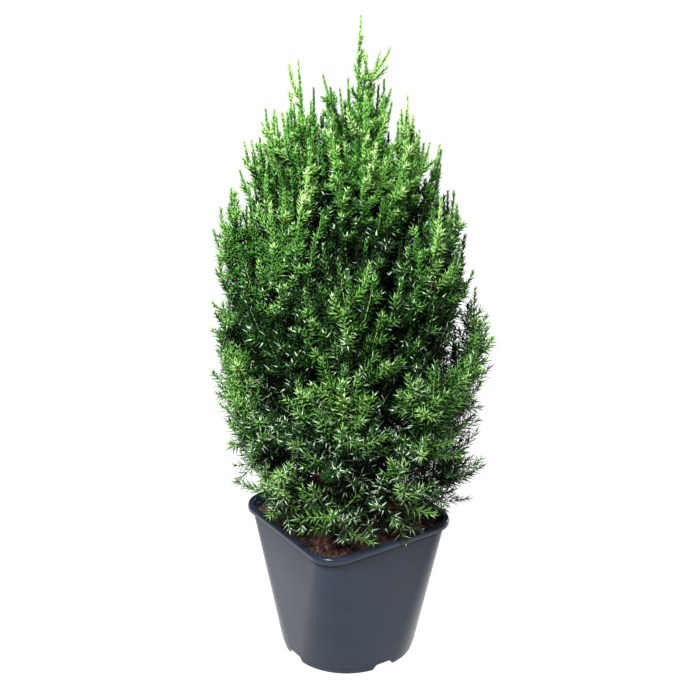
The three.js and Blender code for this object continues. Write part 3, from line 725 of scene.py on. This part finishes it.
mass_from = [BOUGH_SHARE] * BOUGHS + [0]
stem_end = [STEM_END] * BOUGHS + [LEADER_STEM_END]
mass_stretches = [
    stretches(along(limb, np.linspace(start, 1, MASS_STRETCHES + 1))) for limb, start in zip(limbs, mass_from)
]
bough_stretches = [
    stretches(along(limb, np.linspace(0, BOUGH_SHARE, BOUGH_STRETCHES + 1))) for limb in limbs[:BOUGHS]
]
trunk_stretches = stretches(np.array([trunk_point(s) for s in np.linspace(0, 1, TRUNK_STRETCHES + 1)]))
all_stretches = [
    np.concatenate([lines[end] for lines in (*mass_stretches, *bough_stretches, trunk_stretches)])
    for end in (0, 1)
]
stretch_run = all_stretches[1] - all_stretches[0]
stretch_square = (stretch_run**2).sum(-1)
MASS_COUNT = len(limbs) * MASS_STRETCHES
BOUGH_COUNT = BOUGHS * BOUGH_STRETCHES


def distances(points):
    """From each point to each mass's stem, to each bough and to the trunk."""
    start_dot = (all_stretches[0] * stretch_run).sum(-1)
    share = np.clip((points @ stretch_run.T - start_dot) / stretch_square, 0, 1)
    apart = points[:, None] - all_stretches[0] - share[..., None] * stretch_run
    reach = np.sqrt((apart**2).sum(-1))
    to_masses = reach[:, :MASS_COUNT].reshape(-1, len(limbs), MASS_STRETCHES).min(-1)
    to_boughs = reach[:, MASS_COUNT : MASS_COUNT + BOUGH_COUNT].reshape(-1, BOUGHS, BOUGH_STRETCHES).min(-1)
    return to_masses, to_boughs, reach[:, MASS_COUNT + BOUGH_COUNT :].min(-1)


def depth_in_crown(points):
    """How far inside the crown's edge each point lies."""
    reach = np.linalg.norm(points[:, :2] - crown_middle_at(points[:, 2]), axis=1)
    return crown_radius_at(points[:, 2]) - reach


def keeps_to_space(mass, points, radius, proud):
    """Which of these balls of foliage keep to their mass's space."""
    inside_pot = np.abs(points[:, :2]).max(1) < SOIL_OPEN
    floor = np.where(inside_pot, SOIL_TOP + SOIL_CLEAR, POT_HEIGHT + RIM_CLEAR)
    keeps = (depth_in_crown(points) >= radius - proud) & (points[:, 2] - radius >= floor)
    to_masses, to_boughs, to_trunk = distances(points)
    if mass != LEADER:
        trunk_room = trunk_radius_at(trunk_share_at(points[:, 2])) + radius + 2 * GAP
        keeps &= to_trunk >= trunk_room
    own = to_masses[:, mass].copy()
    to_masses[:, mass] = np.inf
    keeps &= to_masses.min(1) - own > 2 * radius + 2 * GAP
    if mass != LEADER:
        to_boughs[:, mass] = np.inf
    return keeps & (to_boughs.min(1) >= BOUGH_RADIUS + radius + GAP)


def spray_width_at(spray, share):
    leafy = (share - spray["bare"]) / (1 - spray["bare"])
    widest = min(SPRAY_WIDEST, spray["length"] * SPRAY_WIDTH_SHARE) * spray["slim"]
    taper = (1 - leafy) ** SPRAY_TAPER_POWER * smoothstep(leafy, *SPRAY_SWELL)
    return np.maximum(SPRAY_NARROWEST, widest * taper)


def spray_line(start, heading, length, lift):
    bend = start + heading * length * SPRAY_BEND
    end = unit(heading * (1 - lift) + np.array([0, 0, lift]))
    return np.array([start, bend, bend + end * length * SPRAY_OUTER])


def ring_points(line, stations):
    """Three points round a line at each station of share, radius and turn."""
    shares, radii, turns = np.array(stations).T
    shares = np.clip(shares, 0, 1)
    heading = heading_along(line, shares)
    across = np.array([1.0, 0, 0]) - heading * heading[:, :1]
    steep = (across**2).sum(1) < 0.04
    across[steep] = np.array([0, 1.0, 0]) - heading[steep] * heading[steep, 1:2]
    across = unit(across)
    sideways = np.cross(heading, across)
    angles = turns[:, None] + np.arange(3) * 2 * np.pi / 3
    spread = across[:, None] * np.cos(angles)[..., None] + sideways[:, None] * np.sin(angles)[..., None]
    return along(line, shares)[:, None] + spread * radii[:, None, None]


def solid_spray_fits(mass, spray, proud):
    """Whether the solids' spray of this line and length keeps to its mass's space."""
    leafy = spray["length"] * (1 - spray["bare"])
    whorls = int(np.clip(math.floor(leafy / WHORL_SPACING + 0.5), WHORLS_LEAST, WHORLS_MOST))
    stations = []
    for k in range(whorls):
        share = lerp((spray["bare"], SPRAY_LEAFY_END), k / whorls)
        width = spray_width_at(spray, min(SPRAY_LEAFY_END, share + SHOOT_AHEAD))
        core = min(SPRAY_CORE, width * SPRAY_CORE_SHARE) * (SPRAY_FIRST_CORE if k == 0 else 1)
        stations.append((share, core, -k * WHORL_TURN))
        stations.append((share + width * SHOOT_FORWARD / spray["length"], width, -(k + 1) * WHORL_TURN))
    stations.append((1, 0.5, -whorls * WHORL_TURN))
    points = ring_points(spray["line"], stations).reshape(-1, 3)
    return keeps_to_space(mass, points, SPRAY_CLEAR, proud).all()


def longest_solid(mass, start, heading, lift, proud, lengths):
    """The first of these lengths at which the solids' spray keeps to its mass's space."""
    for length in lengths:
        line = spray_line(start, heading, length, lift)
        spray = dict(line=line, length=length, slim=1, bare=SPRAY_BARE_SHARE)
        if solid_spray_fits(mass, spray, proud):
            return length
    return None


def longest_fine(mass, start, heading, lift, proud, lengths):
    """The first of these lengths at which a finer spray's line keeps to its mass's space."""
    shape = along(spray_line(np.zeros(3), heading, 1, lift), FINE_TESTED)
    points = start + np.array(lengths)[:, None, None] * shape
    fits = keeps_to_space(mass, points.reshape(-1, 3), SPRAY_CLEAR, proud).reshape(len(lengths), -1).all(1)
    return lengths[fits.argmax()] if fits.any() else None


def over_skirt(points, ragged):
    """Which points lie over the crown's lower edge, which rises outwards from the pot."""
    reach = np.linalg.norm(points[..., :2], axis=-1)
    return points[..., 2] > SKIRT_FOOT + SKIRT_RISE * reach - ragged


def spray_start(mass, place, leafy_from):
    """A place on the mass's stem, or for the leader's finer sprays also on the trunk below it."""
    if mass == LEADER and leafy_from < 1:
        if place < TRUNK_LEAFY_SHARE:
            return trunk_point(lerp((TRUNK_LEAFY_FROM, 1), place / TRUNK_LEAFY_SHARE))
        place = (place - TRUNK_LEAFY_SHARE) / (1 - TRUNK_LEAFY_SHARE)
    first = min(leafy_from, mass_from[mass]) + SPRAY_STEM_SPAN[0]
    return along(limbs[mass], lerp((first, SPRAY_STEM_SPAN[1]), place))


def grow_spray(mass, place, turn_share, draws, proud_range, longest, habit):
    """The longest spray that keeps to the space, from this place on the mass's stem, or None."""
    start = spray_start(mass, place, habit["leafy_from"])
    out = start[:2] - crown_middle_at(start[2])
    sector = 2 * np.pi if mass == LEADER else math.radians(habit["sector"])
    turn = math.atan2(out[1], out[0]) + (turn_share - 0.5) * sector
    height = smoothstep(start[2], *habit["heights"])
    inner = habit["inner"] * smoothstep(depth_in_crown(start[None])[0], *INNER_DEPTHS)
    steep = lerp((lerp(habit["climb"], height), INNER_CLIMB), inner)
    climb = math.radians(steep + lerp(habit["spread"], height) * (next(draws) - 0.5))
    heading = np.array([math.cos(turn) * math.cos(climb), math.sin(turn) * math.cos(climb), math.sin(climb)])
    lift = lerp(habit["lift"], height) + SPRAY_LIFT_SPREAD * (next(draws) - 0.5)
    proud = lerp(proud_range, next(draws))
    steps = math.ceil(math.log(habit["shortest"] / SPRAY_LONGEST) / math.log(SPRAY_SHRINK))
    lengths = [SPRAY_LONGEST * SPRAY_SHRINK**k for k in range(steps)]
    length = longest(mass, start, heading, lift, proud, lengths)
    if length is None:
        return None
    line = spray_line(start, heading, length, lift)
    return dict(mass=mass, line=line, length=length, slim=1, bare=SPRAY_BARE_SHARE, inner=False)


def stands_apart(spray, others, apart):
    return all(np.linalg.norm(spray["line"][2] - other["line"][2]) > apart for other in others)


def fine_sprays(mass, sprays, draws):
    """Adds sprays between the first ones, short of the crown's edge by a draw."""
    most = len(sprays) + FINE_SPRAYS_MOST
    for k in range(FINE_TRIES):
        place, turn_share = (k * FINE_STEPS[0]) % 1, (k * FINE_STEPS[1]) % 1
        height = along(limbs[mass], place)[2]
        shy = lerp(FINE_SHY, smoothstep(height, *FINE_SHY_HEIGHTS))
        spray = grow_spray(mass, place, turn_share, draws, (-shy, FINE_PROUD), longest_fine, FINE_HABIT)
        if spray and spray["line"][2][2] < FINE_TOP:
            apart = lerp(FINE_APART, smoothstep(spray["line"][2][2], *FINE_APART_HEIGHTS))
            if stands_apart(spray, sprays, apart):
                sprays.append(spray)
        if len(sprays) == most:
            break


def inner_sprays(mass, sprays, draws):
    """Adds old sprays well inside the crown; their needles later take a near-black tint of painted shade."""
    most = len(sprays) + INNER_SPRAYS_MOST
    for k in range(INNER_TRIES):
        place, turn_share = ((k * step + offset) % 1 for step, offset in zip(FINE_STEPS, INNER_OFFSETS))
        spray = grow_spray(mass, place, turn_share, draws, INNER_PROUD, longest_fine, INNER_HABIT)
        low_enough = spray and spray["line"][2][2] < INNER_TOP
        if low_enough and stands_apart(spray, sprays, INNER_APART):
            spray["inner"] = True
            sprays.append(spray)
        if len(sprays) == most:
            break


def sprays_of(mass):
    """The solids' sprays of one mass, the tip that carries its stem on, and the finer sprays."""
    draws = seeded_draws(SEED + 100 + mass)
    sprays = []
    for k in range(SPRAY_TRIES):
        if len(sprays) == SPRAYS_MOST:
            break
        place = (k * GOLDEN_SHARE * GOLDEN_SHARE + SPRAY_FIRST) % 1
        spray = grow_spray(
            mass, place, k * GOLDEN_SHARE % 1, draws, SPRAY_PROUD, longest_solid, SOLID_HABIT
        )
        if spray and stands_apart(spray, sprays, SPRAY_APART):
            sprays.append(spray)
    start, tip = along(limbs[mass], stem_end[mass]), limbs[mass][2]
    length = np.linalg.norm(tip - start)
    bend = start + heading_along(limbs[mass], stem_end[mass]) * length / 2
    line = np.array([start, bend, tip])
    sprays.append(dict(mass=mass, line=line, length=length, slim=TIP_SLIM, bare=TIP_BARE_SHARE, inner=False))
    fine_sprays(mass, sprays, draws)
    inner_sprays(mass, sprays, draws)
    return sprays


sprays = [spray for mass in range(len(limbs)) for spray in sprays_of(mass)]
skirt_draws = seeded_draws(SEED + 1)
for spray in sprays:
    spray["ragged"] = lerp(SKIRT_RAGGED, next(skirt_draws))
sprays = [spray for spray in sprays if over_skirt(along(spray["line"], (0.5, 1)), spray["ragged"]).all()]

# Foliage, the twigs: along each spray, pairs of side shoots that lean forward and turn up with it, each pair
# fanned a little from the last, shorter and steeper towards the top of the crown. They are three-sided
# tapering tubes joined from arrays: stems and old twigs brown, young shoots yellow-green.
FINE_WHORL_SPACING = (14, 15)
SHOOTS_A_WHORL = 2
SHOOT_FAN = 0.9 * np.array([0, 1, 0, -1])
SHOOTS_END = 0.88
SHOOT_SPAN = (0.02, 0.93)
SHOOT_SHIFT = 0.02
SHOOT_TURN_JITTER = 0.2
SHOOT_LENGTHS = (0.75, 1.15)
SHOOT_ANGLE = (42, 34)
SHOOT_REACH = 1.7
SHOOT_TOP_REACH = 0.95
SHOOT_TOP_HEIGHTS = (200, 440)
SHOOT_LONGEST = (40, 27)
SHOOT_SHORTEST = (18, 8)
SHOOT_CURL = 0.35
SHOOT_PROUD = 4
SHOOT_JITTER = 0.16
HABIT_HEIGHTS = (180, 430)
TWIG_SIDES = 3
AXIS_RADIUS = (0.85, 0.4)
SHOOT_RADIUS = (0.45, 0.25)
OLD_WOOD_SHARE = 0.3
OLD_WOOD_DEPTH = 25
STEM_RINGS = 7
STEM_TIP_RADIUS = 0.7
TWIG_COLOURS = {"twig_brown": "#6B4424", "twig_green": "#5F8A2C"}


def frame_across(heading):
    """Two directions square to each heading and to each other."""
    reference = np.where(np.abs(heading[..., 2:]) < 0.9, [0.0, 0, 1], [1.0, 0, 0])
    across = unit(np.cross(reference, heading))
    return across, np.cross(heading, across)


chance = np.random.default_rng(SEED)
twig_lines = []
twig_radii = []
twig_spray = []
twig_is_axis = []
for number, spray in enumerate(sprays):
    line, length, bare = spray["line"], spray["length"], spray["bare"]
    habit = smoothstep(line[1][2], *HABIT_HEIGHTS)
    twig_lines.append(line)
    twig_radii.append(AXIS_RADIUS)
    twig_spray.append(number)
    twig_is_axis.append(True)
    spacing = lerp(FINE_WHORL_SPACING, habit)
    whorls = max(2, round(length * (SPRAY_LEAFY_END - bare) / spacing))
    shares = np.repeat(np.linspace(bare, SHOOTS_END, whorls), SHOOTS_A_WHORL)
    shares = np.clip(shares + chance.normal(0, SHOOT_SHIFT, len(shares)), *SHOOT_SPAN)
    whorl_turns = np.repeat(SHOOT_FAN[np.arange(whorls) % len(SHOOT_FAN)], SHOOTS_A_WHORL)
    turns = whorl_turns + np.tile(np.arange(SHOOTS_A_WHORL) * 2 * np.pi / SHOOTS_A_WHORL, whorls)
    turns += chance.normal(0, SHOOT_TURN_JITTER, len(turns))
    angle = np.radians(lerp(SHOOT_ANGLE, habit)) * (1 + chance.normal(0, SHOOT_JITTER, len(turns)))
    heading = heading_along(line, shares)
    across, sideways = frame_across(heading)
    radial = across * np.cos(turns)[:, None] + sideways * np.sin(turns)[:, None]
    out = heading * np.cos(angle)[:, None] + radial * np.sin(angle)[:, None]
    wide = lerp((SHOOT_REACH, SHOOT_TOP_REACH), smoothstep(line[1][2], *SHOOT_TOP_HEIGHTS))
    reach = spray_width_at(spray, shares) * wide / np.sin(angle)
    reach = np.minimum(reach, lerp(SHOOT_LONGEST, habit)) * chance.uniform(*SHOOT_LENGTHS, len(turns))
    foot = along(line, shares)
    bend = foot + out * reach[:, None] * 0.5
    curled = unit(out * (1 - SHOOT_CURL) + heading * SHOOT_CURL)
    tip = bend + curled * reach[:, None] * 0.5
    kept = (reach > lerp(SHOOT_SHORTEST, habit)) & keeps_to_space(spray["mass"], tip, 0, SHOOT_PROUD)
    kept &= over_skirt(tip, spray["ragged"])
    for shoot in np.flatnonzero(kept):
        twig_lines.append(np.array([foot[shoot], bend[shoot], tip[shoot]]))
        twig_radii.append(SHOOT_RADIUS)
        twig_spray.append(number)
        twig_is_axis.append(False)
twig_lines = np.array(twig_lines)
twig_radii = np.array(twig_radii)
twig_spray = np.array(twig_spray)
twig_is_axis = np.array(twig_is_axis)


def on_lines(lines, share):
    s = share[:, None]
    return (1 - s) ** 2 * lines[:, 0] + 2 * s * (1 - s) * lines[:, 1] + s**2 * lines[:, 2]


def headings_on(lines, share):
    s = share[:, None]
    return unit((1 - s) * (lines[:, 1] - lines[:, 0]) + s * (lines[:, 2] - lines[:, 1]))


def tube_arrays(lines, radii, stations):
    """Three-sided tapering tubes along lines, drawn to a point: corners and faces."""
    rings = []
    turn = np.arange(TWIG_SIDES) * 2 * np.pi / TWIG_SIDES
    for share in stations:
        shares = np.full(len(lines), share)
        across, sideways = frame_across(headings_on(lines, shares))
        thick = (radii[:, 0] + (radii[:, 1] - radii[:, 0]) * share)[:, None, None]
        spread = across[:, None] * np.cos(turn)[:, None] + sideways[:, None] * np.sin(turn)[:, None]
        rings.append(on_lines(lines, shares)[:, None] + spread * thick)
    corners = np.stack(rings, 1).reshape(len(lines), -1, 3)
    corners = np.concatenate([corners, lines[:, 2:3]], 1)
    faces = []
    for row in range(len(stations) - 1):
        for side in range(TWIG_SIDES):
            a, b = row * TWIG_SIDES + side, row * TWIG_SIDES + (side + 1) % TWIG_SIDES
            faces += [(a, b, b + TWIG_SIDES), (a, b + TWIG_SIDES, a + TWIG_SIDES)]
    last = (len(stations) - 1) * TWIG_SIDES
    for side in range(TWIG_SIDES):
        faces.append((last + side, last + (side + 1) % TWIG_SIDES, corners.shape[1] - 1))
    faces.append((2, 1, 0))
    faces = np.array(faces) + corners.shape[1] * np.arange(len(lines))[:, None, None]
    return corners.reshape(-1, 3), faces.reshape(-1, 3)


foliage_nodes = [f"foliage_{k + 1:02d}" for k in range(BOUGHS)] + ["foliage_leader"]
stem_lines = []
for mass, limb in enumerate(limbs):
    shares = np.linspace(mass_from[mass], stem_end[mass], STEM_RINGS)
    points = along(limb, shares)
    for a, b in zip(points[:-1], points[1:]):
        stem_lines.append(np.array([a, (a + b) / 2, b]))
stem_lines = np.array(stem_lines)
stem_steps = np.tile(np.linspace(BOUGH_END_RADIUS, STEM_TIP_RADIUS, STEM_RINGS), (len(limbs), 1))
stem_radii = np.stack([stem_steps[:, :-1].ravel(), stem_steps[:, 1:].ravel()], 1)


def part_of_lines(lines, radii, low, high):
    """The stretch of each line between two shares, with the thickness it has there."""
    low_share, high_share = np.full(len(lines), low), np.full(len(lines), high)
    foot, tip = on_lines(lines, low_share), on_lines(lines, high_share)
    slope = 2 * ((1 - low) * (lines[:, 1] - lines[:, 0]) + low * (lines[:, 2] - lines[:, 1]))
    bend = foot + slope * (high - low) / 2
    thick = np.stack([lerp(radii.T, low), lerp(radii.T, high)], 1)
    return np.stack([foot, bend, tip], 1), thick


axes, axis_radii = twig_lines[twig_is_axis], twig_radii[twig_is_axis]
shoots, shoot_radii = twig_lines[~twig_is_axis], twig_radii[~twig_is_axis]
deep = depth_in_crown(axes[:, 0]) > OLD_WOOD_DEPTH
old_wood = part_of_lines(axes[deep], axis_radii[deep], 0, OLD_WOOD_SHARE)
young_wood = part_of_lines(axes[deep], axis_radii[deep], OLD_WOOD_SHARE, 1)
twig_kinds = {
    "twigs_brown": ("twig_brown", [(stem_lines, stem_radii, (0, 0.98)), (*old_wood, (0, 0.98))]),
    "twigs_green": (
        "twig_green",
        [
            (*young_wood, (0, 0.4)),
            (axes[~deep], axis_radii[~deep], (0, 0.4)),
            (shoots, shoot_radii, (0, 0.6)),
        ],
    ),
}
for name, (colour_name, groups) in twig_kinds.items():
    # Twig skin: smooth, waxy on young shoots and dull on old wood
    material, shader = new_material(colour_name, Roughness=0.6, IOR=1.45)
    shader.inputs["Base Color"].default_value = linear(TWIG_COLOURS[colour_name])
    corners, faces = [], []
    for lines, radii, stations in groups:
        more_corners, more_faces = tube_arrays(lines, radii, stations)
        faces.append(more_faces + sum(len(c) for c in corners))
        corners.append(more_corners)
    faces = np.concatenate(faces)
    twigs = joined_mesh(name, np.concatenate(corners), faces, np.zeros(len(faces)), [material])
    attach(twigs, "root")
    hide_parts(*foliage_nodes)

# Foliage, the needles: short stiff awls in whorls of three, spreading and whitish above in the lower crown,
# close-set and bright green on the slim leaders, partly new growth and partly painted light. Each is a keeled
# sliver with a pale band on its upper side. Tints are dealt out by spray as lit and shaded copies of one
# green: lighter at the top and the outer tips, partly new growth and partly painted light, and painted shade
# deeper inside the crown.
NEEDLE_LENGTH = (11.5, 7.8)
NEEDLE_WIDTH = (1.5, 2.0)
NEEDLE_ANGLE = (58, 31)
NEEDLE_HEIGHTS = (190, 560)
NEEDLE_TIP_ANGLE = (0.5, 0.45)
NEEDLE_SPACING = (3.3, 2.5)
NEEDLE_LENGTHS = (0.82, 1.12)
NEEDLE_WIDTHS = (0.9, 1.1)
NEEDLE_KEEL = 0.42
NEEDLE_WAIST = 0.3
NEEDLE_ROOT_OUT = 0.25
NEEDLE_SHIFT = 0.006
NEEDLE_TURN_JITTER = 0.14
NEEDLE_ANGLE_JITTER = 0.09
NEEDLES_A_WHORL = 3
WHORLS_A_TWIG_LEAST = 3
TWIG_TURN = 1.7
AXIS_BARE = 0.1
SHOOT_BARE = 0.05
CLOSING_SHARES = (0.6, 1.0)
CLOSED_SHORTER = 0.3
NEEDLES_A_PIECE = 48000
INNER_SPACING = 1.5
INNER_LARGER = 1.5
SHADING_DEPTH = (10, 26)
NEW_GROWTH_AND_LIT_HEIGHTS = (375, 550)
OUTER_BRIGHTNESS = 1.85
SPRAY_BRIGHTNESS = 0.4
TIP_BRIGHTNESS = 1.0
TOP_BRIGHTNESS = 1.6
GLINT_BELOW = 1.9
GLINT_SHARE = 0.08
GLINT_SHARE_LOW = 0.18
GLINT_HEIGHTS = (210, 330)
TINT_FROM = {"tip": 2.9, "new_growth_and_lit": 1.7, "leaf": 0.5, "shade": -1.2}
# Painted light and shade: each tint is a lit or shaded copy of the needle green and its band, lighter at the
# top and the twigs' outer ends, darker with depth in the crown
NEEDLE_TINTS_LIT_AND_SHADED = {
    "tip": ("#82AB56", "#A6C286"),
    "new_growth_and_lit": ("#528C34", "#7BA457"),
    "leaf": ("#2C6118", "#4A7735"),
    # glint: a skin of painted shade that keeps its pale band
    "glint": ("#183D18", "#A6BDA0"),
    "shade": ("#0A2406", "#1A3C14"),
    # inner: painted shade, near black, for the old sprays deep in the crown
    "inner": ("#051303", "#091C05"),
}
twig_length = np.linalg.norm(twig_lines[:, 1] - twig_lines[:, 0], axis=1) * 2
twig_middle = on_lines(twig_lines, np.full(len(twig_lines), 0.6))
twig_habit = smoothstep(twig_middle[:, 2], *NEEDLE_HEIGHTS)
twig_inner = np.array([spray["inner"] for spray in sprays])[twig_spray]
twig_depth = depth_in_crown(twig_middle)
bare_share = np.where(twig_is_axis, AXIS_BARE, SHOOT_BARE)
spacing = lerp(NEEDLE_SPACING, twig_habit) * np.where(twig_inner, INNER_SPACING, 1)
whorl_counts = np.round(twig_length * (1 - bare_share) / spacing)
whorl_counts = np.maximum(WHORLS_A_TWIG_LEAST, whorl_counts).astype(int)
owner = np.repeat(np.arange(len(twig_lines)), whorl_counts)
order = np.concatenate([np.arange(count) for count in whorl_counts])
whorl_share = bare_share[owner] + (1 - bare_share[owner]) * (order + 0.5) / whorl_counts[owner]
owner, order, whorl_share = (np.repeat(values, NEEDLES_A_WHORL) for values in (owner, order, whorl_share))
count = len(owner)
whorl_share = np.clip(whorl_share + chance.normal(0, NEEDLE_SHIFT, count), 0, 0.995)
in_whorl = np.arange(NEEDLES_A_WHORL) * 2 * np.pi / NEEDLES_A_WHORL
around = order * WHORL_TURN + np.tile(in_whorl, count // NEEDLES_A_WHORL)
around += chance.normal(0, NEEDLE_TURN_JITTER, count) + owner * TWIG_TURN
habit = twig_habit[owner]
closing = smoothstep(whorl_share, *CLOSING_SHARES)
angle = np.radians(lerp(NEEDLE_ANGLE, habit)) * (1 - (1 - lerp(NEEDLE_TIP_ANGLE, habit)) * closing)
angle *= 1 + chance.normal(0, NEEDLE_ANGLE_JITTER, count)
heading = headings_on(twig_lines[owner], whorl_share)
across, sideways = frame_across(heading)
radial = across * np.cos(around)[:, None] + sideways * np.sin(around)[:, None]
pointing = heading * np.cos(angle)[:, None] + radial * np.sin(angle)[:, None]
upper = unit(heading - (heading * pointing).sum(1, keepdims=True) * pointing)
sidelong = np.cross(pointing, upper)
larger = np.where(twig_inner, INNER_LARGER, 1)[owner]
length = lerp(NEEDLE_LENGTH, habit) * (1 - CLOSED_SHORTER * closing)
length *= chance.uniform(*NEEDLE_LENGTHS, count) * larger
width = lerp(NEEDLE_WIDTH, habit) * chance.uniform(*NEEDLE_WIDTHS, count) * larger
root = on_lines(twig_lines[owner], whorl_share) + radial * NEEDLE_ROOT_OUT
point = root + pointing * length[:, None]
waist = root + pointing * (length * NEEDLE_WAIST)[:, None] + upper * (width * NEEDLE_KEEL)[:, None]
left, right = waist + sidelong * width[:, None] / 2, waist - sidelong * width[:, None] / 2
needle_corners = np.stack([root, left, right, point], 1)

# A needle's tint goes by how deep its twig lies, as painted shade, by how high it lies and its place on the
# twig, as new growth and painted light, and by its spray's own draw. A few needles in the painted shade keep
# their pale band on a darkened skin, more of them low down
spray_draw = chance.normal(0, 1, len(sprays))[twig_spray[owner]]
high = smoothstep(twig_middle[owner, 2], *NEW_GROWTH_AND_LIT_HEIGHTS)
# Painted shade: the tone drops with the twig's depth inside the crown
tone_lit_and_shaded = OUTER_BRIGHTNESS - twig_depth[owner] / lerp(SHADING_DEPTH, high)
tone_lit_and_shaded += SPRAY_BRIGHTNESS * spray_draw + TIP_BRIGHTNESS * closing + TOP_BRIGHTNESS * high
low = 1 - smoothstep(twig_middle[owner, 2], *GLINT_HEIGHTS)
turned_out = chance.uniform(0, 1, count) < GLINT_SHARE + GLINT_SHARE_LOW * low
tint_tests = {"inner": twig_inner[owner] & (high < 0.5), "glint": turned_out & (tone_lit_and_shaded < GLINT_BELOW)}
tint_tests.update({name: tone_lit_and_shaded > least for name, least in TINT_FROM.items()})
tint_names = list(NEEDLE_TINTS_LIT_AND_SHADED)
tint_numbers = [tint_names.index(name) for name in tint_tests]
tint = np.select(list(tint_tests.values()), tint_numbers, tint_names.index("inner"))
needle_faces = np.array([[1, 3, 2], [0, 1, 2], [0, 3, 1], [0, 2, 3]])
needle_side = np.array([1, 1, 0, 0])
for number, (name, (green, band)) in enumerate(NEEDLE_TINTS_LIT_AND_SHADED.items()):
    # Needle skin: a leaf surface with little gloss, and duller still on the band with its bloom;
    # each tint's copy of it is lit or shaded by painted light and painted shade
    skin, shader = new_material(f"needle_{name}", Roughness=0.42, IOR=1.45, Specular_IOR_Level=0.12)
    shader.inputs["Base Color"].default_value = linear(green)
    bloom, shader = new_material(f"needle_band_{name}", Roughness=0.55, IOR=1.45, Specular_IOR_Level=0.12)
    shader.inputs["Base Color"].default_value = linear(band)
    chosen = np.flatnonzero(tint == number)
    for part, start in enumerate(range(0, len(chosen), NEEDLES_A_PIECE)):
        picked = chosen[start : start + NEEDLES_A_PIECE]
        faces = needle_faces + 4 * np.arange(len(picked))[:, None, None]
        needles = joined_mesh(
            f"needles_{name}_{part + 1}",
            needle_corners[picked].reshape(-1, 3),
            faces.reshape(-1, 3),
            np.tile(needle_side, len(picked)),
            [skin, bloom],
        )
        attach(needles, "root")
        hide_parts(*foliage_nodes)

# Floor and light: a plain white studio floor that runs out past the picture, a broad soft light high on the
# left in front, a weaker one on the right, and a strip on the right behind that edges the pot.
FLOOR_WIDTH = 30
FLOOR_GREY = "#505050"
WHITE = "#FFFFFF"
WORLD_STRENGTH = 0.02
AIM = Vector((0, 0, 0.3097))
SOFTBOXES = [
    dict(name="key", azimuth=-54, elevation=50, distance=2.2, size=(0.6, 0.6), power=150),
    dict(name="fill", azimuth=15, elevation=30, distance=2.6, size=(1.2, 1.6), power=6),
    dict(name="edge", azimuth=95, elevation=22, distance=2.0, size=(0.5, 1.8), power=34),
]


def stand(name, data, azimuth, elevation, distance):
    """Sets a lamp or camera up at this distance from the aim, looking at it; 0 is the front."""
    turn, lift = math.radians(azimuth), math.radians(elevation)
    back = Vector((math.sin(turn) * math.cos(lift), -math.cos(turn) * math.cos(lift), math.sin(lift)))
    holder = bpy.data.objects.new(name, data)
    holder.location = AIM + back * distance
    holder.rotation_euler = (-back).to_track_quat("-Z", "Y").to_euler()
    bpy.context.scene.collection.objects.link(holder)
    return holder


bpy.ops.object.select_all(action="DESELECT")
bpy.ops.mesh.primitive_plane_add(size=FLOOR_WIDTH)
floor = bpy.context.object
floor.name = "studio_floor"
white, shader = new_material("white_studio_floor", Roughness=0.9)
shader.inputs["Base Color"].default_value = linear(FLOOR_GREY)
shader.inputs["Emission Color"].default_value = linear(WHITE)
shader.inputs["Emission Strength"].default_value = 1.0
floor.data.materials.append(white)
floor.visible_diffuse = False
for softbox in SOFTBOXES:
    lamp = bpy.data.lights.new(f"softbox_{softbox['name']}", "AREA")
    lamp.shape = "RECTANGLE"
    lamp.size, lamp.size_y = softbox["size"]
    lamp.energy = softbox["power"]
    stand(lamp.name, lamp, softbox["azimuth"], softbox["elevation"], softbox["distance"])
world = bpy.data.worlds.new("studio")
world.use_nodes = True
world.node_tree.nodes["Background"].inputs["Color"].default_value = linear(WHITE)
world.node_tree.nodes["Background"].inputs["Strength"].default_value = WORLD_STRENGTH
bpy.context.scene.world = world
bpy.context.scene.view_settings.view_transform = "Standard"

# Camera: two metres off and 25 degrees up, a third of the way round from the front to the left,
# so that the pot's near corner faces it.
CAMERA_AZIMUTH = -33.5
CAMERA_ELEVATION = 24.8
CAMERA_DISTANCE = 2.0
IMAGE_WIDTH = 696
FOCAL_PIXELS = 2202
SENSOR_WIDTH = 36
lens = bpy.data.cameras.new("camera")
lens.sensor_width = SENSOR_WIDTH
lens.lens = SENSOR_WIDTH * FOCAL_PIXELS / IMAGE_WIDTH
camera = stand("camera", lens, CAMERA_AZIMUTH, CAMERA_ELEVATION, CAMERA_DISTANCE)
bpy.context.scene.camera = camera
